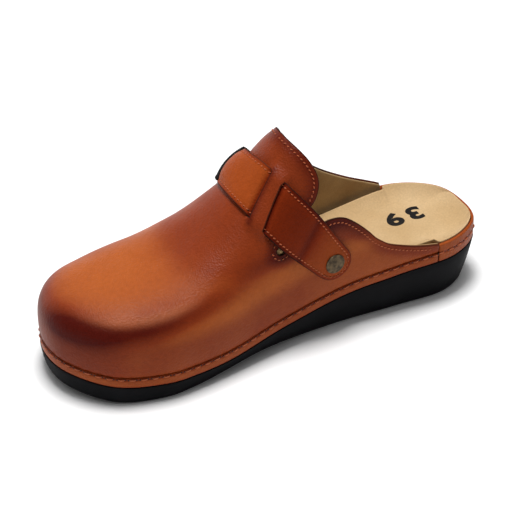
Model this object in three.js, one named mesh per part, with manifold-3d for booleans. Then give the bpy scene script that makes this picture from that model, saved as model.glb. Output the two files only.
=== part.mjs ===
// A left-foot leather clog with an open heel, on a moulded wedge sole.
// Millimetres. +X runs from the heel to the toe, +Y to the outer side of the foot, +Z up.
import * as THREE from 'three';
import { mergeVertices } from 'three/addons/utils/BufferGeometryUtils.js';
import Module from 'manifold-3d';

const wasm = await Module();
wasm.setup();

// ---- Driving dimensions ----

const LENGTH = 270; // sole, heel to toe
const BALL_HALF = 48; // half the sole's width at the ball of the foot
const HEEL_HALF = 35; // half the sole's width at the heel
const HEEL_DEPTH = 28.8; // outsole thickness under the heel
const BALL_DEPTH = 11; // outsole thickness under the ball
const TOE_LIFT = 5.5; // how far the top of the outsole turns up again at the toe
const TREAD_ROCK = 4.4; // how far the tread rises off the ground at the toe tip
const ARCH_RISE = 1.2; // how far the tread rises off the ground under the waist
const WALL_TAPER = 5.8; // how far the tread is set in from the outsole's top edge at the heel
const TOE_TAPER = 1.8; // and at the toe
const INSTEP = 122.5; // height of the tongue's peak above the ground
const TOE_BOX = 58.5; // height of the toe cap above the ground
const POLE_BACK = 46; // distance from the toe tip back to the flat top of the toe cap

const CLEARANCE = 0.3; // between pieces that touch
const LEATHER = 1.5;
const LINING = 1;
const PUFF = 0.7; // stiffener between the leather and the lining of the toe cap
const RAND = 1.8; // thickness of the stitched strip round the sole
const RAND_HEIGHT = 6.5;
const HEEL_RAND_HEIGHT = 12.4;
const HEEL_SEAM = 37; // distance from the back of the heel to the rand's seams
const OVERHANG = 0.4; // how far the leather bulges out past the sole's edge
const EQUATOR = 16; // height of that bulge above the outsole

const BOARD = 2; // insole board
const COVER = 1.2; // suede over the footbed
const BED_RISE = 7; // footbed top above the outsole
const CUP_RISE = 6.6; // extra height of the rim round the heel cup
const CUP_RIM = 15; // width of the slope inside that rim

const STRAP_WIDTH = 26;
const STRAP_TIP_RADIUS = 10.6; // rounded end under the rivet
const STRAP_TAPER = 37; // length over which the tip widens to the full strap
const STRAP_BELLY = 2.2; // how far the front edge swells out beside the rivet
const STRAP_SLOPE = new THREE.Vector2(0.6, 0.8); // rise of the strap in side view
const STRAP = 1.4;
const BACKING = 0.7;
const ELASTIC = 1.3;
const BRIDGE_WIDTH = 3.6; // strip of the vamp that holds the strap down
const BRIDGE_OVERREACH = 6; // how far the strip runs on past each edge of the strap
const BRIDGE_AT = 55.2; // its distance from the rivet along the strap
const BRIDGE_LEAN = 0.245; // how far it shifts along the strap for each step across it
const NOTCH_RADIUS = 2.8; // slit between the tongue and the quarter

const RIVET_RADIUS = 6;
const RIVET_CAP = 1.3;
const RIVET_POST = 1.6; // radius
const RIVET_HOLE = 2; // radius
const BURR_RADIUS = 4.2;
const BURR = 0.9;
const THREAD = 0.32; // radius

// ---- Colours ----

const TAN = { color: 0xa6541f, roughness: 0.42, metalness: 0 };
const RED_TAN = { color: 0x95431a, roughness: 0.42, metalness: 0 };
const SUEDE = { color: 0xcdb083, roughness: 0.95, metalness: 0 };
const PIGSKIN = { color: 0xa88a5c, roughness: 0.9, metalness: 0 };
const RUBBER = { color: 0x161618, roughness: 0.8, metalness: 0 };
const CORK = { color: 0x9a7448, roughness: 0.95, metalness: 0 };
const BOARD_GREY = { color: 0x8c8577, roughness: 0.9, metalness: 0 };
const BRASS = { color: 0x6b5b3c, roughness: 0.45, metalness: 0.9 };
const WEBBING = { color: 0x121212, roughness: 0.95, metalness: 0 };
const YARN = { color: 0xb5652b, roughness: 0.8, metalness: 0 };

// ---- Curves ----

// A smooth height along a line, through [place, height] points, without overshoot.
function smoothLine(points) {
  const slope = points.slice(1).map(([x, z], i) => (z - points[i][1]) / (x - points[i][0]));
  const tangent = points.map((_, i) => {
    if (i === 0) return slope[0];
    if (i === points.length - 1) return slope[i - 1];
    const before = slope[i - 1];
    const after = slope[i];
    return before * after <= 0 ? 0 : (2 * before * after) / (before + after);
  });
  return (place) => {
    const x = THREE.MathUtils.clamp(place, points[0][0], points.at(-1)[0]);
    const last = points.length - 2;
    const i = Math.min(last, points.findLastIndex(([start]) => start <= x));
    const step = points[i + 1][0] - points[i][0];
    const t = (x - points[i][0]) / step;
    const rise = points[i + 1][1] - points[i][1];
    const easeIn = t * (1 - t) ** 2 * step * tangent[i];
    const easeOut = t * t * (t - 1) * step * tangent[i + 1];
    return points[i][1] + t * t * (3 - 2 * t) * rise + easeIn + easeOut;
  };
}

// Outline of the top of the outsole, from the back of the heel along the outer side to
// the toe and back along the inner side: fractions of the length and of the half widths.
const HEEL_OUTER = [[0, 0], [0.015, 0.64], [0.1, 1.03], [0.23, 1.02], [0.38, 0.97]];
const BALL_OUTER = [[0.525, 0.77], [0.65, 0.885], [0.735, 0.95], [0.81, 0.95], [0.915, 0.76], [0.983, 0.33]];
const BALL_INNER = [[1, -0.12], [0.977, -0.54], [0.915, -0.85], [0.8, -1.02], [0.69, -1.03], [0.56, -0.89]];
const HEEL_INNER = [[0.4, -0.97], [0.24, -0.97], [0.11, -0.94], [0.025, -0.56]];
const OUTLINE = [
  ...HEEL_OUTER.map(heelPoint),
  ...BALL_OUTER.map(ballPoint),
  ...BALL_INNER.map(ballPoint),
  ...HEEL_INNER.map(heelPoint),
];
const outline = new THREE.CatmullRomCurve3(OUTLINE, true, 'catmullrom', 0.5);
const TOE_TURN = (HEEL_OUTER.length + BALL_OUTER.length) / OUTLINE.length; // the toe tip's parameter

function heelPoint([x, y]) {
  return new THREE.Vector3(x * LENGTH, y * HEEL_HALF, 0);
}

function ballPoint([x, y]) {
  return new THREE.Vector3(x * LENGTH, y * BALL_HALF, 0);
}

// Top of the outsole, which the leather stands on.
const feather = smoothLine([
  [0, HEEL_DEPTH],
  [0.12 * LENGTH, HEEL_DEPTH],
  [0.3 * LENGTH, BALL_DEPTH + 0.84 * (HEEL_DEPTH - BALL_DEPTH)],
  [0.5 * LENGTH, BALL_DEPTH + 0.37 * (HEEL_DEPTH - BALL_DEPTH)],
  [0.68 * LENGTH, BALL_DEPTH],
  [0.85 * LENGTH, BALL_DEPTH + 0.18 * TOE_LIFT],
  [LENGTH, BALL_DEPTH + TOE_LIFT],
]);

// Tread: flat under the heel and the ball.
const tread = smoothLine([
  [0, 2.5],
  [0.045 * LENGTH, 0],
  [0.37 * LENGTH, 0],
  [0.54 * LENGTH, ARCH_RISE],
  [0.7 * LENGTH, 0],
  [0.86 * LENGTH, 0],
  [LENGTH, TREAD_ROCK],
]);

// Centre line over the top of the foot. Behind the tongue's peak, where the shoe is open,
// it runs on upwards so that the quarters stay upright.
const ridge = smoothLine([
  [0, 1.2 * INSTEP],
  [0.15 * LENGTH, 1.19 * INSTEP],
  [0.33 * LENGTH, 1.13 * INSTEP],
  [0.456 * LENGTH, INSTEP],
  [0.52 * LENGTH, TOE_BOX + 0.7 * (INSTEP - TOE_BOX)],
  [0.58 * LENGTH, TOE_BOX + 0.475 * (INSTEP - TOE_BOX)],
  [0.65 * LENGTH, TOE_BOX + 0.23 * (INSTEP - TOE_BOX)],
  [0.73 * LENGTH, TOE_BOX + 0.05 * (INSTEP - TOE_BOX)],
  [LENGTH - POLE_BACK, TOE_BOX],
]);

const TOE_SWAY = -7; // how far the toe points to the inner side
const ridgeSway = (x) => TOE_SWAY * THREE.MathUtils.smoothstep(x, 0.4 * LENGTH, LENGTH);

// Where the section that starts at a place on the sole's edge meets the ridge. The
// sections stand upright at the back and fan out round the toe cap.
function ridgePlace(x) {
  const fanStart = 0.56 * LENGTH;
  if (x < fanStart) return x;
  const t = (x - fanStart) / (LENGTH - fanStart);
  const reach = LENGTH - POLE_BACK - fanStart;
  const crowding = 0.12; // how far the last sections still step forwards
  const easeIn = t * (1 - t) ** 2 * (LENGTH - fanStart);
  const easeOut = t * t * (t - 1) * crowding * (LENGTH - fanStart);
  return fanStart + easeIn + t * t * (3 - 2 * t) * reach + easeOut;
}

// ---- The sole's edge ----

const EDGE_STEPS = 400;

function edgeAt(turn, inset = 0) {
  const wrapped = THREE.MathUtils.euclideanModulo(turn, 1);
  const point = outline.getPoint(wrapped);
  const along = outline.getPoint((wrapped + 1e-4) % 1).sub(point).normalize();
  const inwards = new THREE.Vector3(along.y, -along.x, 0);
  return { point: point.addScaledVector(inwards, inset), inwards };
}

// The outline's parameter at a place along one side (+1 outer, -1 inner).
function turnAt(x, side) {
  let heel = side > 0 ? 0 : 1;
  let toe = TOE_TURN;
  for (let i = 0; i < 40; i++) {
    const middle = (heel + toe) / 2;
    if (edgeAt(middle).point.x < x) heel = middle;
    else toe = middle;
  }
  return (heel + toe) / 2;
}

// The two sides of an inset copy of the outline, as width at a place along the sole.
function insetEdges(inset) {
  const trace = (side) => {
    const points = [];
    for (let i = 0; i <= EDGE_STEPS; i++) {
      const turn = THREE.MathUtils.lerp(side > 0 ? 0 : 1, TOE_TURN, i / EDGE_STEPS);
      const { point } = edgeAt(turn);
      points.push(edgeAt(turn, inset(point.x)).point);
    }
    return points;
  };
  const sides = { outer: trace(1), inner: trace(-1) };
  const start = sides.outer[0].x;
  const end = sides.outer.at(-1).x;
  const widthAt = (points, x) => {
    if (x <= start) return points[0].y;
    if (x >= end) return points.at(-1).y;
    const past = points.findIndex((p) => p.x > x);
    const t = (x - points[past - 1].x) / (points[past].x - points[past - 1].x);
    return THREE.MathUtils.lerp(points[past - 1].y, points[past].y, t);
  };
  return { start, end, outer: (x) => widthAt(sides.outer, x), inner: (x) => widthAt(sides.inner, x) };
}

// ---- Solids ----

function meshFrom(positions, index) {
  const geometry = new THREE.BufferGeometry();
  geometry.setAttribute('position', new THREE.Float32BufferAttribute(positions, 3));
  geometry.setIndex(index);
  return geometry;
}

function toSolid(geometry) {
  const plain = geometry.clone();
  plain.deleteAttribute('normal');
  plain.deleteAttribute('uv');
  const merged = mergeVertices(plain, 1e-4);
  return new wasm.Manifold(new wasm.Mesh({
    numProp: 3,
    vertProperties: Float32Array.from(merged.attributes.position.array),
    triVerts: Uint32Array.from(merged.index.array),
  }));
}

function toGeometry(solid) {
  const { vertProperties, triVerts } = solid.getMesh();
  return meshFrom(Array.from(vertProperties), Array.from(triVerts));
}

// A flat plate that follows the sole: its edge is inset, and its two faces are heights
// over the place along the sole and the distance from its own edge.
function plate({ inset, lowerInset = inset, bottom, top, rows = 22, columns = 8, extraRows = [] }) {
  const upper = insetEdges(inset);
  const lower = insetEdges(lowerInset);
  const stations = [];
  for (let i = 0; i <= rows; i++) stations.push((1 - Math.cos((Math.PI * i) / rows)) / 2);
  for (const x of extraRows) stations.push((x - upper.start) / (upper.end - upper.start));
  stations.sort((a, b) => a - b);
  const positions = [];
  const count = stations.length * (columns + 1);
  for (const [edges, height] of [[upper, top], [lower, bottom]]) {
    for (const station of stations) {
      const x = THREE.MathUtils.lerp(edges.start, edges.end, station);
      const left = edges.outer(x);
      const right = edges.inner(x);
      for (let j = 0; j <= columns; j++) {
        const across = (1 - Math.cos((Math.PI * j) / columns)) / 2;
        const y = THREE.MathUtils.lerp(right, left, across);
        const fromSide = Math.min(left - y, y - right);
        const fromEnd = Math.min(x - edges.start, edges.end - x);
        positions.push(x, y, height(x, Math.min(fromSide, fromEnd)));
      }
    }
  }
  const index = [];
  const at = (i, j, level) => level * count + i * (columns + 1) + j;
  for (let i = 0; i < stations.length - 1; i++) {
    for (let j = 0; j < columns; j++) {
      index.push(at(i, j, 0), at(i + 1, j, 0), at(i + 1, j + 1, 0));
      index.push(at(i, j, 0), at(i + 1, j + 1, 0), at(i, j + 1, 0));
      index.push(at(i, j, 1), at(i + 1, j + 1, 1), at(i + 1, j, 1));
      index.push(at(i, j, 1), at(i, j + 1, 1), at(i + 1, j + 1, 1));
    }
    index.push(at(i, 0, 0), at(i, 0, 1), at(i + 1, 0, 1));
    index.push(at(i, 0, 0), at(i + 1, 0, 1), at(i + 1, 0, 0));
    index.push(at(i, columns, 0), at(i + 1, columns, 1), at(i, columns, 1));
    index.push(at(i, columns, 0), at(i + 1, columns, 0), at(i + 1, columns, 1));
  }
  return toGeometry(toSolid(withoutSlivers(mergeVertices(meshFrom(positions, index), 1e-3))));
}

// Leaves out the triangles that closed up where rows meet in a point.
function withoutSlivers(geometry) {
  const kept = [];
  const { array } = geometry.index;
  for (let i = 0; i < array.length; i += 3) {
    const [a, b, c] = array.slice(i, i + 3);
    if (a !== b && b !== c && c !== a) kept.push(a, b, c);
  }
  geometry.setIndex(kept);
  return geometry;
}

// A strip with one cross-section, swept along the sole's edge between two turns. Each
// corner of the section is [inset, height above the outsole].
function edgeStrip(from, to, steps, section) {
  const positions = [];
  for (let i = 0; i <= steps; i++) {
    const turn = THREE.MathUtils.lerp(from, to, i / steps);
    for (const [inset, height] of section) {
      const { x, y } = edgeAt(turn, inset).point;
      positions.push(x, y, feather(edgeAt(turn).point.x) + height);
    }
  }
  const corners = section.length;
  const index = [];
  for (let i = 0; i < steps; i++) {
    for (let j = 0; j < corners; j++) {
      const next = (j + 1) % corners;
      const a = i * corners;
      const b = a + corners;
      index.push(a + j, b + next, b + j, a + j, a + next, b + next);
    }
  }
  const end = steps * corners;
  for (let j = 1; j < corners - 1; j++) {
    index.push(0, j + 1, j);
    index.push(end, end + j, end + j + 1);
  }
  return meshFrom(positions, index);
}

// ---- The last: the surface that the leather is shaped over ----

const ROWS = 21;
const BULGE_STEPS = 3; // from the top of the rand out to the widest line
const CROWN_STEPS = 9; // from there up to the ridge
const HALF_COLUMNS = 1 + BULGE_STEPS + CROWN_STEPS;
const SHEET_START = HEEL_SEAM + CLEARANCE;

// One side of a section, from the sole's edge up to the ridge.
function sectionPoints(x, side) {
  const { point, inwards } = edgeAt(x > LENGTH - 1e-3 ? TOE_TURN : turnAt(x, side));
  const tuck = RAND + CLEARANCE;
  const base = feather(x) + CLEARANCE;
  const shoulder = base + RAND_HEIGHT;
  const equator = base + EQUATOR;
  const place = (inset, z) => point.clone().addScaledVector(inwards, inset).setZ(z);
  const points = [place(tuck, base)];
  for (let i = 0; i < BULGE_STEPS; i++) {
    const t = i / BULGE_STEPS;
    const inset = tuck - (tuck + OVERHANG) * Math.sin((t * Math.PI) / 2);
    points.push(place(inset, THREE.MathUtils.lerp(shoulder, equator, t)));
  }
  return [...points, ...crownPoints(x, place(-OVERHANG, equator), side)];
}

// How much squarer than an ellipse the sections are at the toe, on each side.
const OUTER_FULLNESS = 1.1;
const INNER_FULLNESS = 0.6;

// A superellipse quarter from the widest line to the ridge, evenly stepped.
function crownPoints(x, widest, side) {
  const top = new THREE.Vector3(ridgePlace(x), ridgeSway(ridgePlace(x)), ridge(ridgePlace(x)));
  const extra = side > 0 ? OUTER_FULLNESS : INNER_FULLNESS;
  const fullness = 2 + extra * THREE.MathUtils.smoothstep(x, 0.48 * LENGTH, 0.84 * LENGTH);
  const fineSteps = 120;
  const points = [];
  for (let i = 0; i <= fineSteps; i++) {
    const angle = (i / fineSteps) * (Math.PI / 2);
    const out = i === fineSteps ? 0 : Math.cos(angle) ** (2 / fullness);
    const up = Math.sin(angle) ** (2 / fullness);
    points.push(new THREE.Vector3(
      THREE.MathUtils.lerp(top.x, widest.x, out),
      THREE.MathUtils.lerp(top.y, widest.y, out),
      THREE.MathUtils.lerp(widest.z, top.z, up),
    ));
  }
  return evenlySpaced(points, CROWN_STEPS);
}

function evenlySpaced(points, count) {
  const lengths = [0];
  for (let i = 1; i < points.length; i++) lengths.push(lengths[i - 1] + points[i].distanceTo(points[i - 1]));
  const spaced = [];
  for (let k = 0; k <= count; k++) {
    const wanted = (k / count) * lengths.at(-1);
    const i = THREE.MathUtils.clamp(lengths.findIndex((l) => l >= wanted), 1, points.length - 1);
    const t = (wanted - lengths[i - 1]) / (lengths[i] - lengths[i - 1]);
    spaced.push(points[i - 1].clone().lerp(points[i], THREE.MathUtils.clamp(t, 0, 1)));
  }
  return spaced;
}

// The whole surface as an open sheet facing outwards. The sides meet along the toe's
// last section, so that row is shared by both.
function lastSheet() {
  const columns = 2 * HALF_COLUMNS;
  const positions = [];
  for (let i = 0; i <= ROWS; i++) {
    const x = SHEET_START + (LENGTH - SHEET_START) * Math.sin((i / ROWS) * (Math.PI / 2));
    const outer = sectionPoints(x, 1);
    const inner = sectionPoints(x, -1).reverse();
    for (const p of [...outer, ...inner.slice(1)]) positions.push(p.x, p.y, p.z);
  }
  const at = (i, j) => i * (columns + 1) + (i === ROWS ? Math.min(j, columns - j) : j);
  const index = [];
  for (let i = 0; i < ROWS; i++) {
    for (let j = 0; j < columns; j++) {
      index.push(at(i, j), at(i, j + 1), at(i + 1, j + 1));
      index.push(at(i, j), at(i + 1, j + 1), at(i + 1, j));
    }
  }
  const sheet = mergeVertices(meshFrom(positions, index), 1e-5);
  sheet.computeVertexNormals();
  return sheet;
}

const last = lastSheet();
const lastMesh = new THREE.Mesh(last, new THREE.MeshBasicMaterial({ side: THREE.DoubleSide }));

// A layer of the last between two distances from it, each one a number or a function of
// the place along the foot.
function layer(outer, inner) {
  const { position, normal } = last.attributes;
  const positions = [];
  for (const distance of [outer, inner]) {
    for (let i = 0; i < position.count; i++) {
      const point = new THREE.Vector3().fromBufferAttribute(position, i);
      const out = new THREE.Vector3().fromBufferAttribute(normal, i);
      point.addScaledVector(out, typeof distance === 'function' ? distance(point.x) : distance);
      positions.push(point.x, point.y, point.z);
    }
  }
  const faces = Array.from(last.index.array);
  const edges = new Set();
  for (let i = 0; i < faces.length; i += 3) {
    for (let k = 0; k < 3; k++) edges.add(`${faces[i + k]},${faces[i + ((k + 1) % 3)]}`);
  }
  const index = [...faces];
  const under = position.count;
  for (let i = 0; i < faces.length; i += 3) {
    index.push(faces[i] + under, faces[i + 2] + under, faces[i + 1] + under);
  }
  for (const edge of edges) {
    const [u, v] = edge.split(',').map(Number);
    if (edges.has(`${v},${u}`)) continue;
    index.push(v, u, u + under, v, u + under, v + under);
  }
  return toSolid(meshFrom(positions, index));
}

// A point on the last seen from one side, moved out along the surface, and the way out.
function onLast(x, z, side, lift) {
  const from = new THREE.Vector3(x, 300 * side, z);
  const [hit] = new THREE.Raycaster(from, new THREE.Vector3(0, -side, 0)).intersectObject(lastMesh);
  const out = hit.face.normal.clone();
  return { point: hit.point.clone().addScaledVector(out, lift), out };
}

// ---- Side-view shapes, cut through the shoe from one side to the other ----

const SPLIT = 0; // the ridge's sideways place at the tongue
const WIDE = 90; // past either side of the shoe
const HIGH = 2 * INSTEP; // past the top of the shoe

function sidePrism(points, fromY, toY) {
  const geometry = new THREE.ExtrudeGeometry(new THREE.Shape(points), { depth: toY - fromY, bevelEnabled: false });
  geometry.rotateX(Math.PI / 2);
  geometry.translate(0, toY, 0);
  return toSolid(geometry);
}

// Side-view places: along the length, and up between the heel's rim and the tongue's peak.
const RIM_TOP = HEEL_DEPTH + HEEL_RAND_HEIGHT;

function sidePlace([along, up]) {
  return new THREE.Vector2(along * LENGTH, RIM_TOP + up * (INSTEP - RIM_TOP));
}

const PEAK = [0.452, 1];
const QUARTER_TOP = [
  [0.137, -0.002], [0.195, 0.042], [0.235, 0.089], [0.26, 0.125], [0.277, 0.165], [0.293, 0.211],
  [0.311, 0.283], [0.338, 0.372], [0.366, 0.437], [0.397, 0.45], [0.43, 0.44],
].map(sidePlace);
const TONGUE_EDGE = [
  [0.443, 0.562], [0.427, 0.63], [0.416, 0.71], [0.4145, 0.785], [0.423, 0.868], [0.436, 0.938], PEAK,
].map(sidePlace);
const INNER_TOP = [
  [0.137, 0.012], [0.225, 0.165], [0.3, 0.33], [0.355, 0.51], [0.397, 0.74], [0.427, 0.9], PEAK,
].map(sidePlace);

function opening(path, fromY, toY) {
  const curve = new THREE.SplineCurve(path).getPoints(3 * path.length);
  const first = path[0];
  const end = path.at(-1);
  return sidePrism([
    new THREE.Vector2(-LENGTH, first.y),
    ...curve,
    new THREE.Vector2(end.x, HIGH),
    new THREE.Vector2(-LENGTH, HIGH),
  ], fromY, toY);
}

// The strap's own directions in side view: along it from the rivet, and across it.
const RIVET_PLACE = sidePlace([0.396, 0.124]);

function strapPlace(along, across) {
  const side = new THREE.Vector2(-STRAP_SLOPE.y, STRAP_SLOPE.x);
  return RIVET_PLACE.clone().addScaledVector(STRAP_SLOPE, along).addScaledVector(side, across);
}

function arcPoints(radius, from, to, steps) {
  const points = [];
  for (let i = 0; i <= steps; i++) {
    const angle = THREE.MathUtils.lerp(from, to, i / steps);
    points.push([radius * Math.cos(angle), radius * Math.sin(angle)]);
  }
  return points;
}

// Places along the strap's front edge, each with its share of the belly.
const BELLY_LINE = [[8, 0.36], [16, 1], [26, 0.9], [STRAP_TAPER, 0.24]];

function strapOutline(length, border = 0) {
  const half = STRAP_WIDTH / 2 - border;
  return [
    [length, -half],
    [length, half],
    [STRAP_TAPER, half],
    ...arcPoints(STRAP_TIP_RADIUS - border, Math.PI / 2, (3 * Math.PI) / 2, 10),
    ...BELLY_LINE.map(([along, share]) => [along, -half - share * STRAP_BELLY]),
  ].map(([along, across]) => strapPlace(along, across));
}

function strapBox(fromAlong, toAlong, fromAcross, toAcross) {
  return [
    [fromAlong, fromAcross], [toAlong, fromAcross], [toAlong, toAcross], [fromAlong, toAcross],
  ].map(([along, across]) => strapPlace(along, across));
}

const NOTCH_END = sidePlace([0.517, 0.33]);
const NOTCH_MOUTH = sidePlace([0.41, 0.525]);

function notchOutline() {
  const way = NOTCH_END.clone().sub(NOTCH_MOUTH);
  const turn = way.angle();
  const tip = arcPoints(NOTCH_RADIUS, turn - Math.PI / 2, turn + Math.PI / 2, 8);
  const across = new THREE.Vector2(-way.y, way.x).setLength(NOTCH_RADIUS);
  return [
    ...tip.map(([x, z]) => new THREE.Vector2(NOTCH_END.x + x, NOTCH_END.y + z)),
    NOTCH_MOUTH.clone().add(across),
    NOTCH_MOUTH.clone().sub(across),
  ];
}

// ---- Heights above the last where the layers at the strap lie ----

const BACKING_BASE = CLEARANCE;
const STRAP_BASE = BACKING_BASE + BACKING + CLEARANCE;
const STRAP_TOP = STRAP_BASE + STRAP;
const BRIDGE_BASE = STRAP_TOP + CLEARANCE;
const BRIDGE_TOP = BRIDGE_BASE + LEATHER;
const STRAP_REACH = 140; // past the ridge, measured from the rivet
const STRAP_END = -14; // sideways place of the strap's inner end, just over the ridge
const BACKING_END = -22;
const ELASTIC_FOOT = sidePlace([0.41, 0.17]); // its lower edge on the inner side

const CAP_LIFT = 1.6 * CLEARANCE; // the flat cap over the curved strap
const rivetSeat = onLast(RIVET_PLACE.x, RIVET_PLACE.y, 1, STRAP_TOP + CAP_LIFT);

// A round hole or piece on the rivet's line: heights are measured from the cap's seat.
function onRivetLine(geometry) {
  geometry.rotateX(Math.PI / 2);
  geometry.applyQuaternion(new THREE.Quaternion().setFromUnitVectors(new THREE.Vector3(0, 0, 1), rivetSeat.out));
  geometry.translate(...rivetSeat.point.toArray());
  return geometry;
}

function rivetHole(radius) {
  return toSolid(onRivetLine(new THREE.CylinderGeometry(radius, radius, 40, 20)));
}

// ---- Sole and footbed ----

const FOOT_INSET = RAND + LEATHER + PUFF + LINING + 5 * CLEARANCE;

// Beside the quarters the bed stands in from the lining; behind them it reaches the rand.
function bedInset(x) {
  return x > HEEL_SEAM - 1.5 ? FOOT_INSET : RAND + 1.5 * CLEARANCE;
}

function bedTop(x, fromEdge) {
  const cup = 1 - THREE.MathUtils.smoothstep(x, 0.12 * LENGTH, 0.5 * LENGTH);
  const slope = Math.max(0, 1 - fromEdge / CUP_RIM) ** 2;
  return feather(x) + BED_RISE + CUP_RISE * cup * slope;
}

const bedRows = [HEEL_SEAM - 5, HEEL_SEAM - 2, HEEL_SEAM - 1];

function makeOutsole() {
  return plate({
    inset: () => 0,
    lowerInset: (x) => {
      const forwards = THREE.MathUtils.smoothstep(x, 0.55 * LENGTH, 0.86 * LENGTH);
      return THREE.MathUtils.lerp(WALL_TAPER, TOE_TAPER, forwards);
    },
    bottom: (x) => tread(x),
    top: (x) => feather(x),
    rows: 32,
    columns: 2,
  });
}

function makeInsoleBoard() {
  return plate({
    inset: () => FOOT_INSET,
    bottom: (x) => feather(x) + CLEARANCE,
    top: (x) => feather(x) + CLEARANCE + BOARD,
    rows: 22,
    columns: 3,
  });
}

function makeFootbedCore() {
  return plate({
    inset: bedInset,
    bottom: (x) => feather(x) + BOARD + 2 * CLEARANCE,
    top: (x, fromEdge) => bedTop(x, fromEdge) - COVER - CLEARANCE,
    extraRows: bedRows,
  });
}

function makeFootbedCover() {
  return plate({
    inset: bedInset,
    bottom: (x, fromEdge) => bedTop(x, fromEdge) - COVER,
    top: bedTop,
    extraRows: bedRows,
  });
}

// ---- Rand, in three lengths with butt seams ----

const OUTER_SEAM = turnAt(HEEL_SEAM, 1);
const INNER_SEAM = turnAt(HEEL_SEAM, -1);
const TOE_SEAM = turnAt(0.97 * LENGTH, -1);
const SEAM_GAP = 0.0008; // of a turn

function makeRand(from, to, steps, height) {
  const round = 0.5;
  return edgeStrip(from + SEAM_GAP, to - SEAM_GAP, steps, [
    [0, CLEARANCE], [0, height - round], [round, height], [RAND, height], [RAND, CLEARANCE],
  ]);
}

// ---- Upper ----

const outerOpening = opening([...QUARTER_TOP, ...TONGUE_EDGE], SPLIT, WIDE);
const innerOpening = opening(INNER_TOP, -WIDE, SPLIT);
const notch = sidePrism(notchOutline(), 0, WIDE);
const bothOpenings = outerOpening.add(innerOpening);

// A length of the bridge, which leans across the strap.
function bridgePrism(low, high) {
  const from = BRIDGE_AT - BRIDGE_WIDTH / 2;
  const to = BRIDGE_AT + BRIDGE_WIDTH / 2;
  const corner = (along, across) => strapPlace(along + BRIDGE_LEAN * across, across);
  return sidePrism([corner(from, low), corner(to, low), corner(to, high), corner(from, high)], SPLIT, WIDE);
}

function makeBridge() {
  const reach = STRAP_WIDTH / 2 + BRIDGE_OVERREACH;
  const beside = STRAP_WIDTH / 2 + 2 * CLEARANCE;
  const legs = bridgePrism(beside, reach).add(bridgePrism(-reach, -beside));
  const over = layer(BRIDGE_TOP, BRIDGE_BASE).intersect(bridgePrism(-reach, reach));
  return over.add(layer(BRIDGE_TOP, -LEATHER / 2).intersect(legs));
}

function makeUpper() {
  const leather = layer(0, -LEATHER).subtract(bothOpenings).subtract(notch).subtract(rivetHole(RIVET_HOLE));
  return toGeometry(leather.add(makeBridge()));
}

const PUFF_START = 0.8 * LENGTH;
const LINING_GAP = LEATHER + CLEARANCE;

// The lining drops inwards where the toe stiffener needs its room.
function liningOuter(x) {
  const underPuff = THREE.MathUtils.smoothstep(x, PUFF_START - 30, PUFF_START - 4);
  return -LINING_GAP - (PUFF + CLEARANCE) * underPuff;
}

function makeLining() {
  const skin = layer(liningOuter, (x) => liningOuter(x) - LINING);
  return toGeometry(skin.subtract(bothOpenings).subtract(notch).subtract(rivetHole(BURR_RADIUS + CLEARANCE)));
}

function makeToePuff() {
  const box = new THREE.BoxGeometry(LENGTH, 2 * WIDE, HIGH);
  box.translate(PUFF_START + LENGTH / 2, 0, HIGH / 2);
  return toGeometry(layer(-LINING_GAP, -LINING_GAP - PUFF).intersect(toSolid(box)));
}

// ---- Strap, its backing and the elastic ----

function makeStrap() {
  const band = sidePrism(strapOutline(STRAP_REACH), STRAP_END, WIDE);
  return toGeometry(layer(STRAP_TOP, STRAP_BASE).intersect(band).subtract(rivetHole(RIVET_HOLE)));
}

function makeBacking() {
  const band = sidePrism(strapOutline(STRAP_REACH, 2 * CLEARANCE), BACKING_END, WIDE);
  return toGeometry(layer(BACKING_BASE + BACKING, BACKING_BASE).intersect(band).subtract(rivetHole(RIVET_HOLE)));
}

function makeElastic() {
  const half = STRAP_WIDTH / 2;
  const foot = ELASTIC_FOOT.clone().sub(RIVET_PLACE).dot(STRAP_SLOPE);
  const band = sidePrism(strapBox(foot, STRAP_REACH, -half, half), -WIDE, STRAP_END - CLEARANCE);
  return toGeometry(layer(STRAP_BASE + ELASTIC, STRAP_BASE).intersect(band));
}

// ---- Rivet ----

function makeRivetCap() {
  const rim = 0.4;
  const reach = STRAP_TOP + CAP_LIFT + LINING_GAP;
  const profile = [
    [0, -reach], [RIVET_POST, -reach], [RIVET_POST, 0], [RIVET_RADIUS, 0], [RIVET_RADIUS, RIVET_CAP - rim],
    [RIVET_RADIUS - rim, RIVET_CAP], [RIVET_RADIUS - 2 * rim, RIVET_CAP - 0.2], [0, RIVET_CAP],
  ].map(([r, h]) => new THREE.Vector2(r, h));
  return onRivetLine(new THREE.LatheGeometry(profile, 28));
}

function makeRivetBurr() {
  const base = -(STRAP_TOP + CAP_LIFT) - LINING_GAP;
  const profile = [
    [RIVET_POST + 0.1, base - BURR], [BURR_RADIUS, base - BURR], [BURR_RADIUS, base], [RIVET_POST + 0.1, base],
    [RIVET_POST + 0.1, base - BURR],
  ].map(([r, h]) => new THREE.Vector2(r, h));
  return onRivetLine(new THREE.LatheGeometry(profile, 24));
}

// ---- Stitching, as one run of yarn along each seam ----

function yarn(points, steps) {
  const section = new THREE.Shape(arcPoints(THREAD, 0, 1.5 * Math.PI, 3).map(([x, y]) => new THREE.Vector2(x, y)));
  return new THREE.ExtrudeGeometry(section, {
    steps, bevelEnabled: false, extrudePath: new THREE.CatmullRomCurve3(points, false, 'centripetal'),
  });
}

const YARN_LIFT = THREAD + 0.35;
const STITCH_LINE = 5.4; // height of the rand's stitching above the outsole
const STITCH_BORDER = 2.4; // distance of the other stitching from the leather's edge

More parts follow.
